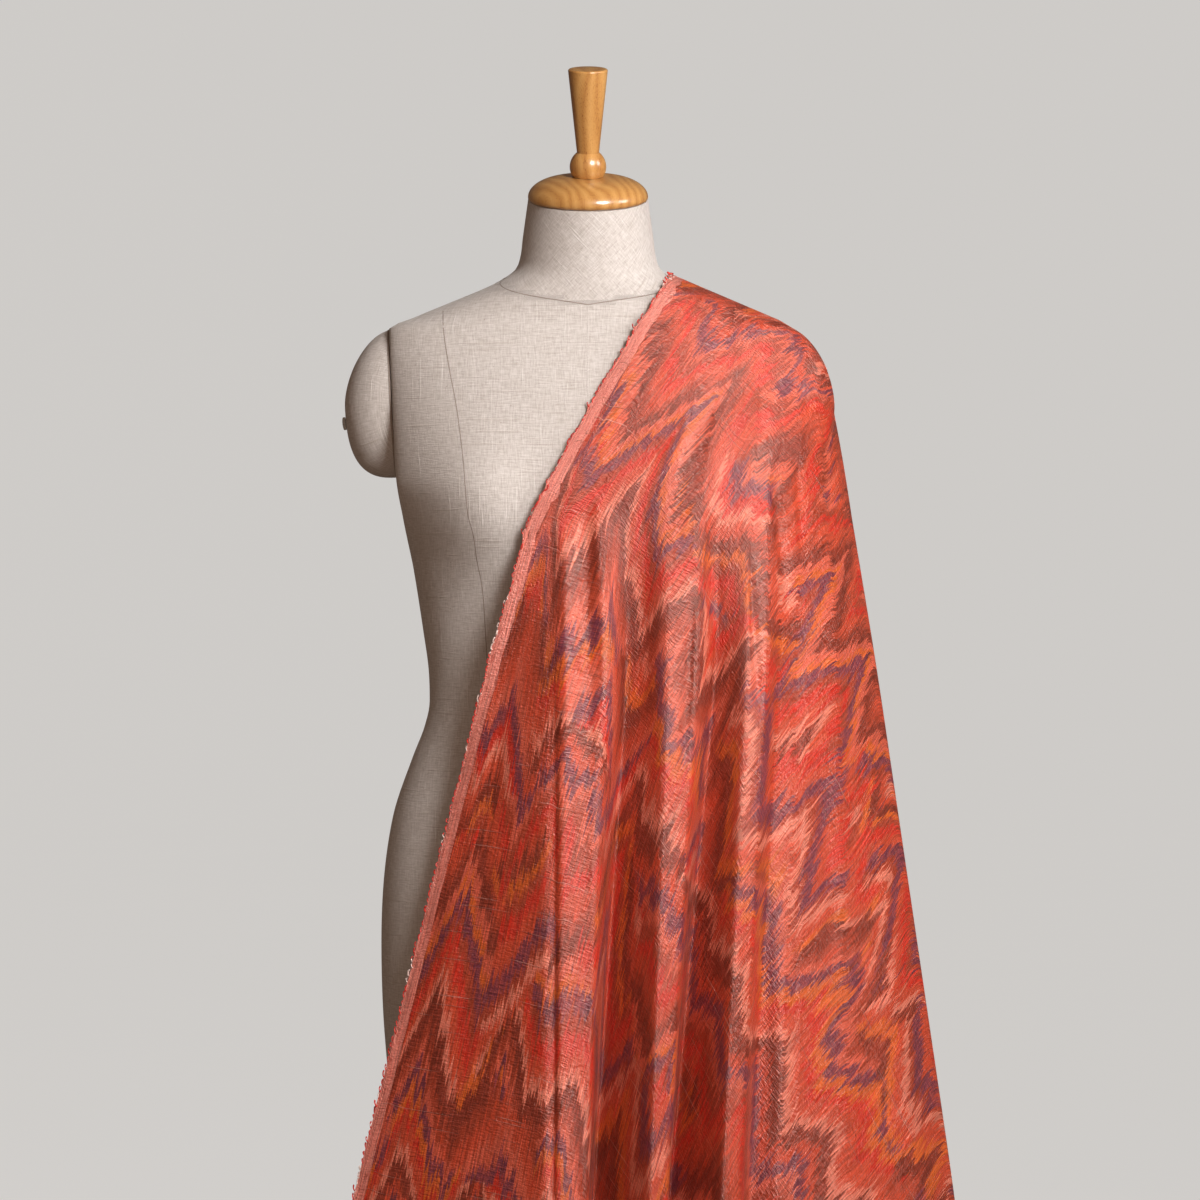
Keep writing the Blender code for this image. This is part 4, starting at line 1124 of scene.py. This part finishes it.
def make_edge_loops(tree, name, grid, at_column, next_column, finish, seed):
    """Loops of thread along one column of the cloth's grid that is a selvedge."""
    edge = grid[at_column]
    outward = unit(edge - grid[next_column])
    upright = unit(np.cross(outward, np.gradient(edge, axis=0)))
    wire = bpy.data.meshes.new(name + "_line")
    wire.from_pydata([tuple(p) for p in edge], [(k, k + 1) for k in range(len(edge) - 1)], [])
    for label, values in (("outward", outward), ("upright", upright)):
        layer = wire.attributes.new(label, "FLOAT_VECTOR", "POINT")
        layer.data.foreach_set("vector", values.astype(np.float32).ravel())
    carrier = placed_object(name + "_line", wire)
    modifier = carrier.modifiers.new("loops", "NODES")
    modifier.node_group = tree
    for label, value in (
        ("Spacing", PICOT_SPACING), ("Loop Radius", PICOT_SIZE), ("Thread Radius", PICOT_THREAD),
        ("Seed", seed), ("Finish", finish),
    ):
        modifier[tree.interface.items_tree[label].identifier] = value
    seen = carrier.evaluated_get(bpy.context.evaluated_depsgraph_get())
    mesh = bpy.data.meshes.new_from_object(seen)
    mesh.name = name
    bpy.data.objects.remove(carrier)
    bpy.data.meshes.remove(wire)
    return add_piece(name, mesh, finish, sharp_deg=60)


# ---- the stage ----
def make_stage():
    flat = [(radius, 0) for radius in (0, 2, 5, 9, 12)]
    mesh = turned_mesh("floor", flat + arc((14, 5), 5, -90, 0, 18) + [(19, 12)], 96, 1e-5)
    if mesh.polygons[0].normal.z < 0:
        mesh.flip_normals()
    mesh.materials.append(floor_finish())
    mesh.shade_smooth()
    floor = placed_object("floor", mesh)
    floor.visible_diffuse = floor.visible_glossy = False


def facing(direction):
    """How a lamp or a camera is turned to look along a direction."""
    return direction.to_track_quat("-Z", "Y").to_euler()


def make_lights():
    for name, place, aim, size, power, spread_deg, colour, mirrored in LAMPS:
        light = bpy.data.lights.new(name, "AREA")
        light.shape = "DISK"
        light.size = size
        light.energy = power
        light.color = colour
        light.spread = math.radians(spread_deg)
        lamp = placed_object(name, light)
        lamp.location = place
        lamp.rotation_euler = facing(Vector(aim) - Vector(place))
        lamp.visible_camera = False
        lamp.visible_glossy = mirrored
    world = bpy.data.worlds.new("studio")
    world.use_nodes = True
    background = world.node_tree.nodes["Background"]
    background.inputs[0].default_value = ROOM_COLOUR
    background.inputs[1].default_value = ROOM_STRENGTH
    bpy.context.scene.world = world
    bpy.context.scene.view_settings.view_transform = "Standard"


def make_camera():
    camera = placed_object("camera", bpy.data.cameras.new("camera"))
    away = Vector((0, -math.cos(VIEW_RISE), math.sin(VIEW_RISE)))
    camera.location = VIEW_TARGET + away * VIEW_DISTANCE
    camera.rotation_euler = facing(-away)
    camera.data.sensor_width = SENSOR_WIDTH
    camera.data.lens = SENSOR_WIDTH * VIEW_DISTANCE / VIEW_WIDTH
    camera.data.clip_end = 60
    bpy.context.scene.camera = camera


make_lights()
make_camera()
make_stage()
# The seams and the arm caps' edgings take a darkened linen: painted shade.
seam_painted_shade_linen, wood, metal = linen_finish("seam_painted_shade_linen", shade=SEAM_PAINTED_SHADE), wood_finish(), metal_finish()
body, arm, body_tree = make_form(linen_finish(), seam_painted_shade_linen, wood, metal)
cloth, cloth_grid = make_cloth(hull_of([body, arm]), [body_tree, tree_of(arm)], main_silk_finish())
loops, edge_thread = loop_tree(), edge_thread_finish()
make_edge_loops(loops, "front_selvedge_loops", cloth_grid, 0, 1, edge_thread, 5)
make_edge_loops(loops, "back_selvedge_loops", cloth_grid, -1, -2, edge_thread, 11)
